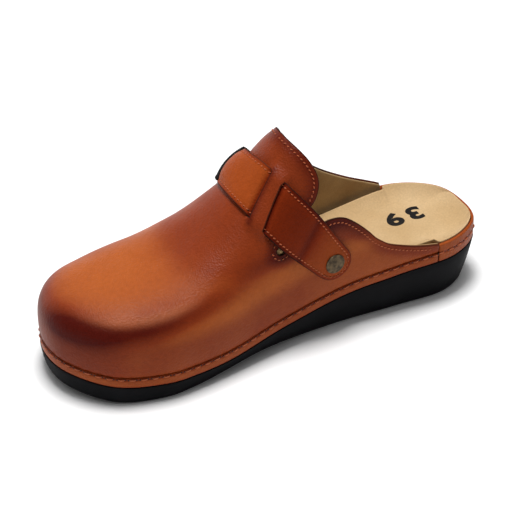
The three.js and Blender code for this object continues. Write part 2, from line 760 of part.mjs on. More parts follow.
function randYarn(from, to, steps, height) {
  const margin = 0.004;
  const points = [];
  for (let i = 0; i <= steps; i++) {
    const turn = THREE.MathUtils.lerp(from + margin, to - margin, i / steps);
    const { point } = edgeAt(turn, -YARN_LIFT);
    points.push(point.setZ(feather(edgeAt(turn).point.x) + height));
  }
  return yarn(points, steps);
}

// Yarn on the last beside a path in side view, on its left.
function seamYarn(path, side, base, steps, border = STITCH_BORDER) {
  const curve = new THREE.SplineCurve(path);
  const points = [];
  for (let i = 0; i <= steps; i++) {
    const t = THREE.MathUtils.lerp(0.04, 0.96, i / steps);
    const along = curve.getTangent(t);
    const place = curve.getPoint(t).add(new THREE.Vector2(along.y, -along.x).multiplyScalar(border));
    points.push(onLast(place.x, place.y, side, base + YARN_LIFT).point);
  }
  return yarn(points, steps);
}

function strapYarn() {
  const half = STRAP_WIDTH / 2 - STITCH_BORDER;
  const far = BRIDGE_AT - 2 * BRIDGE_WIDTH;
  const run = [far, (far + STRAP_TAPER) / 2, STRAP_TAPER];
  const path = [
    ...run.map((along) => [along, half]),
    ...arcPoints(STRAP_TIP_RADIUS - 0.8 * STITCH_BORDER, Math.PI / 2, (3 * Math.PI) / 2, 8),
    ...run.reverse().map((along) => [along, -half]),
  ].map(([along, across]) => strapPlace(along, across));
  return seamYarn(path, 1, STRAP_TOP, 32, 0);
}

// ---- The shoe ----

const group = new THREE.Group();

function add(name, geometry, look) {
  const mesh = new THREE.Mesh(geometry, new THREE.MeshStandardMaterial(look));
  mesh.name = name;
  group.add(mesh);
}

add('outsole', makeOutsole(), RUBBER);
add('insole_board', makeInsoleBoard(), BOARD_GREY);
add('footbed_core', makeFootbedCore(), CORK);
add('footbed_cover', makeFootbedCover(), SUEDE);
add('rand_outer', makeRand(OUTER_SEAM, TOE_SEAM, 42, RAND_HEIGHT), TAN);
add('rand_inner', makeRand(TOE_SEAM, INNER_SEAM, 30, RAND_HEIGHT), TAN);
add('rand_heel', makeRand(INNER_SEAM - 1, OUTER_SEAM, 20, HEEL_RAND_HEIGHT), TAN);
add('upper', makeUpper(), TAN);
add('upper_lining', makeLining(), PIGSKIN);
add('toe_puff', makeToePuff(), BOARD_GREY);
add('strap', makeStrap(), RED_TAN);
add('strap_backing', makeBacking(), PIGSKIN);
add('strap_elastic', makeElastic(), WEBBING);
add('rivet_cap', makeRivetCap(), BRASS);
add('rivet_burr', makeRivetBurr(), BRASS);
add('rand_yarn_outer', randYarn(OUTER_SEAM, TOE_SEAM, 42, STITCH_LINE), YARN);
add('rand_yarn_inner', randYarn(TOE_SEAM, INNER_SEAM, 30, STITCH_LINE), YARN);
add('rand_yarn_heel', randYarn(INNER_SEAM - 1, OUTER_SEAM, 20, STITCH_LINE), YARN);
add('quarter_yarn_outer', seamYarn(QUARTER_TOP.slice(0, -2), 1, 0, 18), YARN);
add('quarter_yarn_inner', seamYarn(INNER_TOP.slice(0, 4), -1, 0, 14), YARN);
add('tongue_yarn', seamYarn(TONGUE_EDGE.slice(1, -1), 1, 0, 10), YARN);
add('strap_yarn', strapYarn(), YARN);

// The origin lies on the ground under the middle of the shoe.
const box = new THREE.Box3().setFromObject(group);
const centre = box.getCenter(new THREE.Vector3());
group.position.set(-centre.x, -centre.y, -box.min.z);
group.updateMatrixWorld(true);

export default group;
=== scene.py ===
import math

import bmesh
import bpy
import numpy as np
from mathutils import Matrix, Vector
from mathutils.bvhtree import BVHTree


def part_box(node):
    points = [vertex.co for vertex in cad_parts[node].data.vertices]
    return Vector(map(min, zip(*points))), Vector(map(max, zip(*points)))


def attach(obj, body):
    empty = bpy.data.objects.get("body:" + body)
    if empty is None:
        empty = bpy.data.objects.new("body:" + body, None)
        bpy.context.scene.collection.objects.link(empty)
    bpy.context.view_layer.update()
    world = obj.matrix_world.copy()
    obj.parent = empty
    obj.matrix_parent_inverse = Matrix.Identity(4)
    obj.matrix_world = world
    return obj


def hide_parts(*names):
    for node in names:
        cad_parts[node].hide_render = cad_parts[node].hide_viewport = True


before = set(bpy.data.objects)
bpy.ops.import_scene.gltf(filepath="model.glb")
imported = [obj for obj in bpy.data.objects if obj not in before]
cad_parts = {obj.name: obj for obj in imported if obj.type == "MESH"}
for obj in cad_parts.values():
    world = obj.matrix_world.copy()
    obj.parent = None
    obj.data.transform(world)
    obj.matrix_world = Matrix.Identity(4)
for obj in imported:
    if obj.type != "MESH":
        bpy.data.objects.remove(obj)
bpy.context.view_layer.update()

# The shoe is worked out in millimetres, with the back of the heel at x = 0, the outer side
# of the foot at +y and the ground at z = 0. to_frame puts it where the CAD model stands.
MM = 0.001

# ---- Sizes, as in the CAD model ----

LENGTH = 270
BALL_HALF = 48
HEEL_HALF = 35
HEEL_DEPTH = 28.8
BALL_DEPTH = 11
TOE_LIFT = 5.5
TREAD_ROCK = 4.4
ARCH_RISE = 1.2
WALL_TAPER = 5.8
TOE_TAPER = 1.8
INSTEP = 122.5
TOE_BOX = 58.5
POLE_BACK = 46  # how far behind the sole's tip the rows over the toe meet
CLEARANCE = 0.3
LEATHER = 1.5
LINING = 1
PUFF = 0.7
RAND = 1.8
RAND_HEIGHT = 6.5
HEEL_RAND_HEIGHT = 12.4
HEEL_SEAM = 37
OVERHANG = 0.4  # how far the upper stands out over the sole's edge
EQUATOR = 16  # how high over the sole the upper is widest
COVER = 1.2
BED_RISE = 7
CUP_RISE = 6.6
CUP_RIM = 15  # how far in from the edge the heel cup slopes
STRAP_HALF = 13
STRAP_TIP = 10.6
STRAP_TAPER = 37  # where the strap reaches its full width
FRONT_SWELL = 2.3  # how far the strap's front edge bulges
REAR_NARROWING = 2.5
STRAP = 1.4
BACKING = 0.7
ELASTIC = 1.3
BRIDGE_AT = 59.6
BRIDGE_HALF = 4
BRIDGE_SLANT = 0.294  # how far the bridge leans, for each millimetre across the strap
BRIDGE_NARROWING = 0.033  # how much thinner it gets, for each millimetre to the rear
BRIDGE_LIFT = 2.9
SLOT_GAP = 3.2
STRAP_LENGTH = 97
NOTCH_RADIUS = 2.8
RIVET_RADIUS = 6

STRAP_BASE = 2 * CLEARANCE + BACKING
STRAP_TOP = STRAP_BASE + STRAP
RIM_TOP = HEEL_DEPTH + HEEL_RAND_HEIGHT
FOOT_INSET = RAND + LEATHER + PUFF + LINING + 5 * CLEARANCE


# ---- Small maths ----

def smoothstep(value, low, high):
    t = np.clip((np.asarray(value, float) - low) / (high - low), 0, 1)
    return t * t * (3 - 2 * t)


def bell(value, middle, width):
    return np.exp(-(((np.asarray(value, float) - middle) / width) ** 2))


def unit(vectors):
    return vectors / np.maximum(np.linalg.norm(vectors, axis=-1, keepdims=True), 1e-12)


def smooth_line(points):
    """A smooth height along a line, through (place, height) points, without overshoot."""
    xs, zs = np.array(points, float).T
    slope = np.diff(zs) / np.diff(xs)
    tangent = np.concatenate([slope[:1], np.zeros(len(xs) - 2), slope[-1:]])
    both = slope[:-1] * slope[1:]
    rising = both > 0
    tangent[1:-1][rising] = (2 * both[rising]) / (slope[:-1] + slope[1:])[rising]

    def height(place):
        x = np.clip(place, xs[0], xs[-1])
        i = np.clip(np.searchsorted(xs, x, side="right") - 1, 0, len(xs) - 2)
        step = xs[i + 1] - xs[i]
        t = (x - xs[i]) / step
        ease = t * (1 - t) ** 2 * step * tangent[i] + t * t * (t - 1) * step * tangent[i + 1]
        return zs[i] + t * t * (3 - 2 * t) * (zs[i + 1] - zs[i]) + ease

    return height


def catmull_rom(points, t, closed=False):
    """Points of a smooth curve through the given points; t counts them."""
    points = np.asarray(points, float)
    t = np.asarray(t, float)
    i = np.floor(t).astype(int)
    if closed:
        around = [points[(i + k) % len(points)] for k in (-1, 0, 1, 2)]
    else:
        i = np.clip(i, 0, len(points) - 2)
        around = [points[np.clip(i + k, 0, len(points) - 1)] for k in (-1, 0, 1, 2)]
    u = (t - i)[..., None]
    a, b, c, d = around
    return 0.5 * (2 * b + (c - a) * u + (2 * a - 5 * b + 4 * c - d) * u**2 + (3 * b - a - 3 * c + d) * u**3)


def evenly(points, count):
    """The same line with points at even distances."""
    points = np.asarray(points, float)
    lengths = np.concatenate([[0], np.cumsum(np.linalg.norm(np.diff(points, axis=0), axis=1))])
    wanted = np.linspace(0, lengths[-1], count)
    return np.stack([np.interp(wanted, lengths, points[:, k]) for k in range(points.shape[1])], 1)


def line_length(points):
    return float(np.linalg.norm(np.diff(points, axis=0), axis=1).sum())


def polyline_distance(places, line):
    """Distance from each place to an open line, all in side view."""
    best = np.full(len(places), np.inf)
    for a, b in zip(line[:-1], line[1:]):
        way = b - a
        t = np.clip(((places - a) @ way) / max(way @ way, 1e-9), 0, 1)
        best = np.minimum(best, np.linalg.norm(places - a - t[:, None] * way, axis=1))
    return best


def inside(places, loop):
    """Whether each place is inside a closed loop."""
    result = np.zeros(len(places), bool)
    x, z = places.T
    for (ax, az), (bx, bz) in zip(loop, np.roll(loop, -1, axis=0)):
        if az == bz:
            continue
        crosses = (az > z) != (bz > z)
        result ^= crosses & (x < (bx - ax) * (z - az) / (bz - az) + ax)
    return result


# ---- The sole's outline and heights ----

HEEL_FRONT = [(0, 0), (0.015, 0.64), (0.1, 1.03), (0.23, 1.02), (0.38, 0.97)]
BALL = [(0.525, 0.77), (0.65, 0.885), (0.735, 0.95), (0.81, 0.95), (0.915, 0.76), (0.983, 0.33),
        (1, -0.12), (0.977, -0.54), (0.915, -0.85), (0.8, -1.02), (0.69, -1.03), (0.56, -0.89)]
HEEL_BACK = [(0.4, -0.97), (0.24, -0.97), (0.11, -0.94), (0.025, -0.56)]
OUTLINE = np.array(
    [(x * LENGTH, y * HEEL_HALF) for x, y in HEEL_FRONT]
    + [(x * LENGTH, y * BALL_HALF) for x, y in BALL]
    + [(x * LENGTH, y * HEEL_HALF) for x, y in HEEL_BACK]
)
TOE_TURN = (len(HEEL_FRONT) + 6) / len(OUTLINE)

feather = smooth_line([
    (0, HEEL_DEPTH), (0.12 * LENGTH, HEEL_DEPTH),
    (0.3 * LENGTH, BALL_DEPTH + 0.84 * (HEEL_DEPTH - BALL_DEPTH)),
    (0.5 * LENGTH, BALL_DEPTH + 0.37 * (HEEL_DEPTH - BALL_DEPTH)),
    (0.68 * LENGTH, BALL_DEPTH), (0.85 * LENGTH, BALL_DEPTH + 0.18 * TOE_LIFT),
    (LENGTH, BALL_DEPTH + TOE_LIFT),
])
tread = smooth_line([
    (0, 2.5), (0.045 * LENGTH, 0), (0.37 * LENGTH, 0), (0.54 * LENGTH, ARCH_RISE),
    (0.7 * LENGTH, 0), (0.86 * LENGTH, 0), (LENGTH, TREAD_ROCK),
])
ridge = smooth_line([
    (0, 1.2 * INSTEP), (0.15 * LENGTH, 1.19 * INSTEP), (0.33 * LENGTH, 1.13 * INSTEP),
    (0.456 * LENGTH, INSTEP),
    (0.52 * LENGTH, TOE_BOX + 0.7 * (INSTEP - TOE_BOX)),
    (0.58 * LENGTH, TOE_BOX + 0.475 * (INSTEP - TOE_BOX)),
    (0.65 * LENGTH, TOE_BOX + 0.23 * (INSTEP - TOE_BOX)),
    (0.73 * LENGTH, TOE_BOX + 0.05 * (INSTEP - TOE_BOX)),
    (LENGTH - POLE_BACK, TOE_BOX),
])


def edge_points(turn):
    """Points of the outline and the way inwards there; a turn runs from 0 to 1."""
    t = (np.asarray(turn, float) % 1) * len(OUTLINE)
    point = catmull_rom(OUTLINE, t, closed=True)
    along = catmull_rom(OUTLINE, t + 1e-3, closed=True) - catmull_rom(OUTLINE, t - 1e-3, closed=True)
    return point, unit(np.stack([along[..., 1], -along[..., 0]], -1))


TRACE_TURNS = {1: np.linspace(0, TOE_TURN, 3001), -1: np.linspace(1, TOE_TURN, 3001)}
TRACE_X = {side: np.maximum.accumulate(edge_points(turns)[0][:, 0]) for side, turns in TRACE_TURNS.items()}


def turn_at(x, side):
    return np.interp(x, TRACE_X[side], TRACE_TURNS[side])


shoe_origin = np.array([
    -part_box("outsole")[0].x / MM,
    edge_points(TRACE_TURNS[1])[0][:, 1].max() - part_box("outsole")[1].y / MM,
    0,
])


def to_frame(points):
    return (np.asarray(points, float) - shoe_origin) * MM


def add_object(name, data):
    piece = bpy.data.objects.new(name, data)
    bpy.context.scene.collection.objects.link(piece)
    return piece


# ---- Camera ----

AZIMUTH = math.radians(27.86)
ELEVATION = math.radians(36.3)
DISTANCE = 1383
FOCUS = 4.6485  # focal length as a share of the frame's width
AIM = (-0.0021, 0.00748)  # the small turn right and up that frames the shoe

towards = np.array([math.sin(AZIMUTH) * math.cos(ELEVATION), math.cos(AZIMUTH) * math.cos(ELEVATION),
                    math.sin(ELEVATION)])
right = np.array([-math.cos(AZIMUTH), math.sin(AZIMUTH), 0])
upwards = np.cross(towards, right)
eye = np.array([LENGTH / 2, 0, 30]) + towards * DISTANCE

camera = add_object("camera", bpy.data.cameras.new("camera"))
camera.data.sensor_width = 36
camera.data.lens = FOCUS * camera.data.sensor_width
back = unit(towards - AIM[0] * right - AIM[1] * upwards)
side = unit(np.cross(upwards, back))
over = np.cross(back, side)
turned = Matrix([[*row] for row in np.column_stack([side, over, back])]).to_4x4()
camera.matrix_world = Matrix.Translation(Vector(to_frame(eye))) @ turned
camera.data.clip_end = 20
bpy.context.scene.camera = camera

# ---- The surface that the leather is shaped over ----

def ridge_place(x):
    start = 0.56 * LENGTH
    span = LENGTH - start
    t = np.clip((x - start) / span, 0, 1)
    ease = t * (1 - t) ** 2 * span + t * t * (t - 1) * 0.12 * span
    return np.where(x < start, x, start + ease + t * t * (3 - 2 * t) * (span - POLE_BACK))


def ridge_sway(x):
    return -7 * smoothstep(x, 0.4 * LENGTH, LENGTH)


# How much squarer than an ellipse the sections are at the toe, on each side.
FULLNESS = {1: 1.1, -1: 0.6}


def crown(x, widest, side, steps):
    """One side of a section, from its widest point to the ridge."""
    top_x = float(ridge_place(x))
    top = np.array([top_x, float(ridge_sway(top_x)), float(ridge(top_x))])
    extra = FULLNESS[side] + (FULLNESS[1] - FULLNESS[side]) * float(smoothstep(x, 0.88 * LENGTH, LENGTH))
    fullness = 2 + extra * float(smoothstep(x, 0.48 * LENGTH, 0.84 * LENGTH))
    angle = np.linspace(0, math.pi / 2, 400)
    out = np.cos(angle) ** (2 / fullness)
    out[-1] = 0
    up = np.sin(angle) ** (2 / fullness)
    level = top[:2] + (widest[:2] - top[:2]) * out[:, None]
    height = widest[2] + (top[2] - widest[2]) * up
    return evenly(np.column_stack([level, height]), steps + 1)


def last_grid(places, crown_steps, low_steps=8):
    """A grid of points over the foot: a row for each place, from the outer side of the
    sole up over the ridge and down to the inner side."""
    rows = []
    for x in places:
        halves = []
        for side in (1, -1):
            turn = TOE_TURN if x > LENGTH - 1e-3 else turn_at(x, side)
            point, inwards = edge_points(turn)
            tuck = RAND + CLEARANCE
            base = float(feather(x)) + CLEARANCE
            wall = [(tuck, base + (RAND_HEIGHT - 0.4) * k / 3) for k in range(3)]
            for t in np.linspace(0, 1, low_steps, endpoint=False) ** 1.5:
                inset = tuck - (tuck + OVERHANG) * math.sin(t * math.pi / 2) ** 0.24
                wall.append((inset, base + RAND_HEIGHT - 0.4 + (EQUATOR - RAND_HEIGHT + 0.4) * t))
            low = np.array([[*(point + inwards * inset), z] for inset, z in wall])
            widest = np.array([*(point - inwards * OVERHANG), base + EQUATOR])
            halves.append(np.vstack([low, crown(x, widest, side, crown_steps)]))
        rows.append(np.vstack([halves[0], halves[1][::-1][1:]]))
    grid = np.array(rows)
    return soften(grid, low_steps + 6)


SOFTENING_ROUNDS = 14


def soften(grid, border):
    """Evens out the crown across each row, so that the two sides meet without a crease."""
    for _ in range(SOFTENING_ROUNDS):
        middle = 0.25 * grid[:, :-2] + 0.5 * grid[:, 1:-1] + 0.25 * grid[:, 2:]
        grid[:, border:-border] = middle[:, border - 1:-(border - 1)]
    return grid


def pole():
    """The point on the toe where the rows meet."""
    x = float(ridge_place(LENGTH))
    return np.array([x, float(ridge_sway(x))])


DOME_OUTER = 24
DOME_INNER = 12


def smooth_pole(grid, normals):
    """Lays the rows that crowd together at the pole onto one smooth low dome, which is
    fitted to the ring round it."""
    away = grid[..., :2] - pole()
    x, y = away[..., 0], away[..., 1]
    radius = np.hypot(x, y)
    top = grid[..., 2] > TOE_BOX - 12
    near = top & (radius < DOME_OUTER) & (radius > DOME_INNER)
    if near.sum() < 20:
        return
    terms = np.stack([np.ones_like(x), x, y, x * x, x * y, y * y], -1)
    fit, *_ = np.linalg.lstsq(terms[near], grid[..., 2][near], rcond=None)
    share = smoothstep(radius, 20, 8) * top
    grid[..., 2] += share * (terms @ fit - grid[..., 2])
    rise_x = fit[1] + 2 * fit[3] * x + fit[4] * y
    rise_y = fit[2] + fit[4] * x + 2 * fit[5] * y
    dome_normals = unit(np.stack([-rise_x, -rise_y, np.ones_like(x)], -1))
    normals += share[..., None] * (dome_normals - normals)


def grid_normals(grid, closed_toe):
    along = np.gradient(grid, axis=0)
    across = np.gradient(grid, axis=1)
    if closed_toe:
        beyond = grid[-2, ::-1]
        along[-1] = (beyond - grid[-2]) / 2
        flat = np.linalg.norm(along[-1], axis=1) < 1e-6
        along[-1][flat] = (grid[-1] - grid[-2])[flat]
    return unit(np.cross(across, along))


def places_to(end, count, start=HEEL_SEAM + CLEARANCE):
    """Places along the sole, closer together where the toe turns."""
    return start + (end - start) * np.sin(np.linspace(0, 1, count) * math.pi / 2)


class Surface:
    """A grid with normals, as a flat list of points and four-sided faces."""

    def __init__(self, places, crown_steps):
        grid = last_grid(places, crown_steps)
        closed = places[-1] > LENGTH - 1e-3
        rows, columns, _ = grid.shape
        normals = grid_normals(grid, closed)
        smooth_pole(grid, normals)
        self.points = grid.reshape(-1, 3)
        self.normals = unit(normals).reshape(-1, 3)
        at = np.arange(rows * columns).reshape(rows, columns)
        if closed:
            half = columns // 2
            at[-1, half + 1:] = at[-1, :half][::-1]
        a, b, c, d = at[:-1, :-1], at[:-1, 1:], at[1:, 1:], at[1:, :-1]
        self.faces = [tuple(f) for f in np.stack([a, b, c, d], -1).reshape(-1, 4)]


fine = 1.0
whole = Surface(places_to(LENGTH, int(200 * fine)), int(70 * fine))
whole_tree = BVHTree.FromPolygons(whole.points.tolist(), whole.faces)


def cast(start, way):
    hit, normal, _, _ = whole_tree.ray_cast(Vector(start), Vector(way))
    return None if hit is None else (np.array(hit), np.array(normal))


def from_side(place, side):
    """The point of the surface seen from one side at a side-view place, and the way out."""
    found = cast((place[0], 300 * side, place[1]), (0, -side, 0))
    if found is None:
        return None
    point, normal = found
    return point, normal if normal[1] * side > 0 else -normal


# ---- Side-view places and lines ----

def side_place(points):
    along, up = np.array(points, float).T
    return np.column_stack([along * LENGTH, RIM_TOP + up * (INSTEP - RIM_TOP)])


QUARTER_TOP = side_place([
    (0.137, -0.002), (0.195, 0.042), (0.235, 0.089), (0.26, 0.125), (0.277, 0.165), (0.293, 0.211),
    (0.311, 0.283), (0.338, 0.372), (0.366, 0.437), (0.397, 0.45), (0.43, 0.44),
])
TONGUE_EDGE = side_place([
    (0.443, 0.562), (0.427, 0.63), (0.416, 0.71), (0.4145, 0.785), (0.423, 0.868),
    (0.436, 0.938), (0.452, 1),
])
INNER_TOP = side_place([
    (0.137, 0.012), (0.225, 0.165), (0.3, 0.33), (0.355, 0.51), (0.397, 0.74), (0.427, 0.9), (0.452, 1),
])
NOTCH_END, NOTCH_MOUTH = side_place([(0.517, 0.33), (0.41, 0.525)])
RIVET_PLACE = side_place([(0.396, 0.124)])[0]
STRAP_WAY = np.array([0.6, 0.8])
STRAP_SIDE = np.array([-0.8, 0.6])


def curve(points, per_step=10):
    return catmull_rom(points, np.linspace(0, len(points) - 1, per_step * (len(points) - 1) + 1))


OUTER_LINE = curve(np.vstack([QUARTER_TOP, TONGUE_EDGE]))
INNER_LINE = curve(INNER_TOP)


def strap_place(along, across):
    return RIVET_PLACE + along * STRAP_WAY + across * STRAP_SIDE


def strap_coordinates(points):
    away = points[:, [0, 2]] - RIVET_PLACE
    return away @ STRAP_WAY, away @ STRAP_SIDE


def opening_distance(places, line):
    """How far each place is below the opening's edge; negative inside the opening."""
    first, end = line[0], line[-1]
    loop = np.vstack([[-LENGTH, first[1]], line, [end[0], 2 * INSTEP], [-LENGTH, 2 * INSTEP]])
    distance = polyline_distance(places, loop[:-1])
    return np.where(inside(places, loop), -distance, distance)


def capsule_distance(places, start, end, radius):
    return polyline_distance(places, np.array([start, end])) - radius


class StrapRuler:
    """Measures lengths over the foot along the strap, from the rivet over the ridge."""

    CORE = 18  # how far along the strap the point inside the foot is that angles start from

    def __init__(self):
        self.across = np.linspace(-24, 24, 17)
        self.angles = np.linspace(-0.7, 3.4, 180)
        self.table = np.array([self.lengths(w) for w in self.across])

    def point(self, angle, across):
        core = strap_place(self.CORE, across)
        way = np.array([STRAP_WAY[0] * math.sin(angle), math.cos(angle), STRAP_WAY[1] * math.sin(angle)])
        found = cast((core[0], 0, core[1]), way)
        if found is None:
            return None
        point, normal = found
        return point, normal if normal @ way > 0 else -normal

    def lengths(self, across):
        reach = []
        for angle in self.angles:
            found = self.point(angle, across)
            along = 0 if found is None else strap_coordinates(found[0][None])[0][0] - self.CORE
            reach.append(np.nan if found is None else math.hypot(along, found[0][1]))
        reach = np.array(reach)
        seen = ~np.isnan(reach)
        reach = np.interp(self.angles, self.angles[seen], reach[seen])
        line = reach[:, None] * np.column_stack([np.sin(self.angles), np.cos(self.angles)])
        measured = np.concatenate([[0], np.cumsum(np.linalg.norm(np.diff(line, axis=0), axis=1))])
        return measured - np.interp(math.atan2(-self.CORE, 34), self.angles, measured)

    def measure(self, points):
        along, across = strap_coordinates(points)
        angle = np.arctan2(along - self.CORE, points[:, 1])
        angle = np.where(angle < self.angles[0] - 0.5, angle + 2 * math.pi, angle)
        row = (across - self.across[0]) / (self.across[1] - self.across[0])
        row = np.clip(row, 0, len(self.across) - 1.001)
        column = (angle - self.angles[0]) / (self.angles[1] - self.angles[0])
        column = np.clip(column, 0, len(self.angles) - 1.001)
        i, j = row.astype(int), column.astype(int)
        u, v = row - i, column - j
        low = self.table[i, j] * (1 - v) + self.table[i, j + 1] * v
        high = self.table[i + 1, j] * (1 - v) + self.table[i + 1, j + 1] * v
        return low * (1 - u) + high * u


ruler = StrapRuler()


def bridge_middle(across):
    return BRIDGE_AT + BRIDGE_SLANT * across


def bridge_half(across):
    return BRIDGE_HALF - BRIDGE_NARROWING * np.clip(across, -STRAP_HALF, STRAP_HALF)


def outside_bridge(points):
    """Distance outwards from the bridge's long edges; negative on the bridge."""
    _, across = strap_coordinates(points)
    return np.abs(ruler.measure(points) - bridge_middle(across)) - bridge_half(across)


def opening_depth(points):
    """How far each place is from the topline, without the notch."""
    places = points[:, [0, 2]]
    outer = opening_distance(places, OUTER_LINE)
    inner = opening_distance(places, INNER_LINE)
    share = smoothstep(points[:, 1], -5, 5)
    return share * outer + (1 - share) * inner


def keep_throat(points):
    notch = capsule_distance(points[:, [0, 2]], NOTCH_END, NOTCH_MOUTH, NOTCH_RADIUS)
    return np.minimum(opening_depth(points), np.where(points[:, 1] > 0, notch, 50))


def keep_upper(points):
    edge = outside_bridge(points)
    _, across = strap_coordinates(points)
    beside_slot = np.abs(across + FRONT_SWELL / 2) - (STRAP_HALF + FRONT_SWELL / 2 + 0.4)
    slot = np.maximum.reduce([-edge, edge - SLOT_GAP, beside_slot])
    return np.minimum(keep_throat(points), slot)


def strap_half(length, side=1):
    """Half the strap's width. The rear edge narrows towards the far end; the front edge, on
    side -1, widens towards the bridge."""
    if side > 0:
        widening = (STRAP_HALF - STRAP_TIP) * smoothstep(length, -2, STRAP_TAPER)
        return STRAP_TIP + widening - REAR_NARROWING * smoothstep(length, 68, STRAP_LENGTH)
    widening = (STRAP_HALF + FRONT_SWELL - STRAP_TIP) * smoothstep(length, -10, 44)
    return STRAP_TIP + widening - 0.5 * FRONT_SWELL * smoothstep(length, 52, 66)


def strap_edge_distance(points):
    """How far inside the strap's long edges each place is."""
    _, across = strap_coordinates(points)
    length = ruler.measure(points)
    return np.where(across > 0, strap_half(length), strap_half(length, -1)) - np.abs(across)


def strap_border(points):
    """How far inside the strap's long edges and rounded tip each place is."""
    along, across = strap_coordinates(points)
    tip = STRAP_TIP - np.hypot(np.minimum(along, 0), across)
    return np.where((along > 0) | (points[:, 1] < 0), strap_edge_distance(points), tip)


def keep_strap(points, border=0.0, length=STRAP_LENGTH):
    return np.minimum(strap_border(points) - border, length - ruler.measure(points))


def keep_elastic(points):
    along, _ = strap_coordinates(points)
    foot = (side_place([(0.41, 0.17)])[0] - RIVET_PLACE) @ STRAP_WAY
    start = ruler.measure(points) - STRAP_LENGTH - 0.8
    return np.minimum.reduce([strap_edge_distance(points) - 0.4, along - foot, start, -points[:, 1]])


# ---- Trimming a surface along a line ----

def trimmed(surface, keep):
    """The part of a surface where keep is positive, with a clean edge along zero: points
    near the line are first moved onto it, then faces are cut."""
    points = surface.points.copy()
    normals = surface.normals.copy()
    value = keep(points)
    edges = set()
    for face in surface.faces:
        for a, b in zip(face, face[1:] + face[:1]):
            if a != b and value[a] * value[b] < 0:
                edges.add((min(a, b), max(a, b)))
    nearest = {}
    for a, b in edges:
        t = value[a] / (value[a] - value[b])
        for near, far, share in ((a, b, t), (b, a, 1 - t)):
            if share < 0.35 and share < nearest.get(near, (1, 0))[0]:
                nearest[near] = (share, far)
    for near, (share, far) in nearest.items():
        points[near] = points[near] + share * (surface.points[far] - surface.points[near])
        normals[near] = unit(normals[near] + share * (surface.normals[far] - surface.normals[near]))
        value[near] = 0.0
    points, normals = list(points), list(normals)
    cuts = {}
    faces = []
    for face in surface.faces:
        face = tuple(dict.fromkeys(face))
        levels = [value[i] for i in face]
        if max(levels) <= 0:
            continue
        if min(levels) >= 0:
            faces.append(face)
            continue
        kept = []
        for a, b in zip(face, face[1:] + face[:1]):
            if value[a] >= 0:
                kept.append(a)
            if value[a] * value[b] < 0:
                key = (min(a, b), max(a, b))
                if key not in cuts:
                    t = value[a] / (value[a] - value[b])
                    cuts[key] = len(points)
                    points.append(points[a] + t * (points[b] - points[a]))
                    normals.append(unit(normals[a] + t * (normals[b] - normals[a])))
                kept.append(cuts[key])
        kept = tuple(dict.fromkeys(kept))
        if len(kept) > 2:
            faces.append(kept)
    used = sorted({i for face in faces for i in face})
    renumber = {old: new for new, old in enumerate(used)}
    return (np.array([points[i] for i in used]), np.array([normals[i] for i in used]),
            [tuple(renumber[i] for i in face) for face in faces])


def contour(surface, value):
    """The longest line on a surface where the values of its points pass zero, with the
    normals along it."""
    spots, links = {}, {}
    for face in surface.faces:
        face = tuple(dict.fromkeys(face))
        crossed = []
        for a, b in zip(face, face[1:] + face[:1]):
            if (value[a] > 0) == (value[b] > 0):
                continue
            key = (min(a, b), max(a, b))
            t = value[key[0]] / (value[key[0]] - value[key[1]])
            spots[key] = [(1 - t) * what[key[0]] + t * what[key[1]]
                          for what in (surface.points, surface.normals)]
            crossed.append(key)
        if len(crossed) == 2:
            links.setdefault(crossed[0], []).append(crossed[1])
            links.setdefault(crossed[1], []).append(crossed[0])
    longest = []
    for start in [key for key, ends in links.items() if len(ends) == 1]:
        chain, previous, here = [start], None, start
        while True:
            onwards = [key for key in links[here] if key != previous]
            if not onwards:
                break
            previous, here = here, onwards[0]
            chain.append(here)
        if len(chain) > len(longest):
            longest = chain
    points, normals = (np.array([spots[key][k] for key in longest]) for k in (0, 1))
    return points, unit(normals)


# ---- Building Blender meshes ----

def new_object(name, points, faces, materials, face_material=None, smooth=True):
    mesh = bpy.data.meshes.new(name)
    mesh.from_pydata(to_frame(points).tolist(), [], faces)
    for material in materials:
        mesh.materials.append(material)
    if face_material is not None:
        mesh.polygons.foreach_set("material_index", np.asarray(face_material, np.int32))
    mesh.polygons.foreach_set("use_smooth", np.full(len(mesh.polygons), smooth))
    mesh.validate()
    mesh.update()
    return add_object(name, mesh)


def add_attribute(piece, name, values):
    layer = piece.data.attributes.new(name, "FLOAT", "POINT")
    layer.data.foreach_set("value", np.asarray(values, np.float32))


def hand_in(piece, slot, *nodes):
    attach(piece, "root")
    if nodes:
        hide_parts(*nodes)
    return piece


def tube_faces(rings, sides, base=0):
    """Faces of a tube whose points go ring by ring, with its two ends closed."""
    faces = []
    for i in range(rings - 1):
        a, b = base + i * sides, base + (i + 1) * sides
        for j in range(sides):
            k = (j + 1) % sides
            faces.append((a + j, a + k, b + k, b + j))
    last = base + (rings - 1) * sides
    faces.append(tuple(range(base, base + sides))[::-1])
    faces.append(tuple(range(last, last + sides)))
    return faces


def boundary(faces):
    """Each open edge of a mesh, in the direction that its face goes round."""
    seen = set()
    for face in faces:
        seen.update(zip(face, face[1:] + face[:1]))
    return [(a, b) for a, b in seen if (b, a) not in seen]


RIM_STEPS = 4


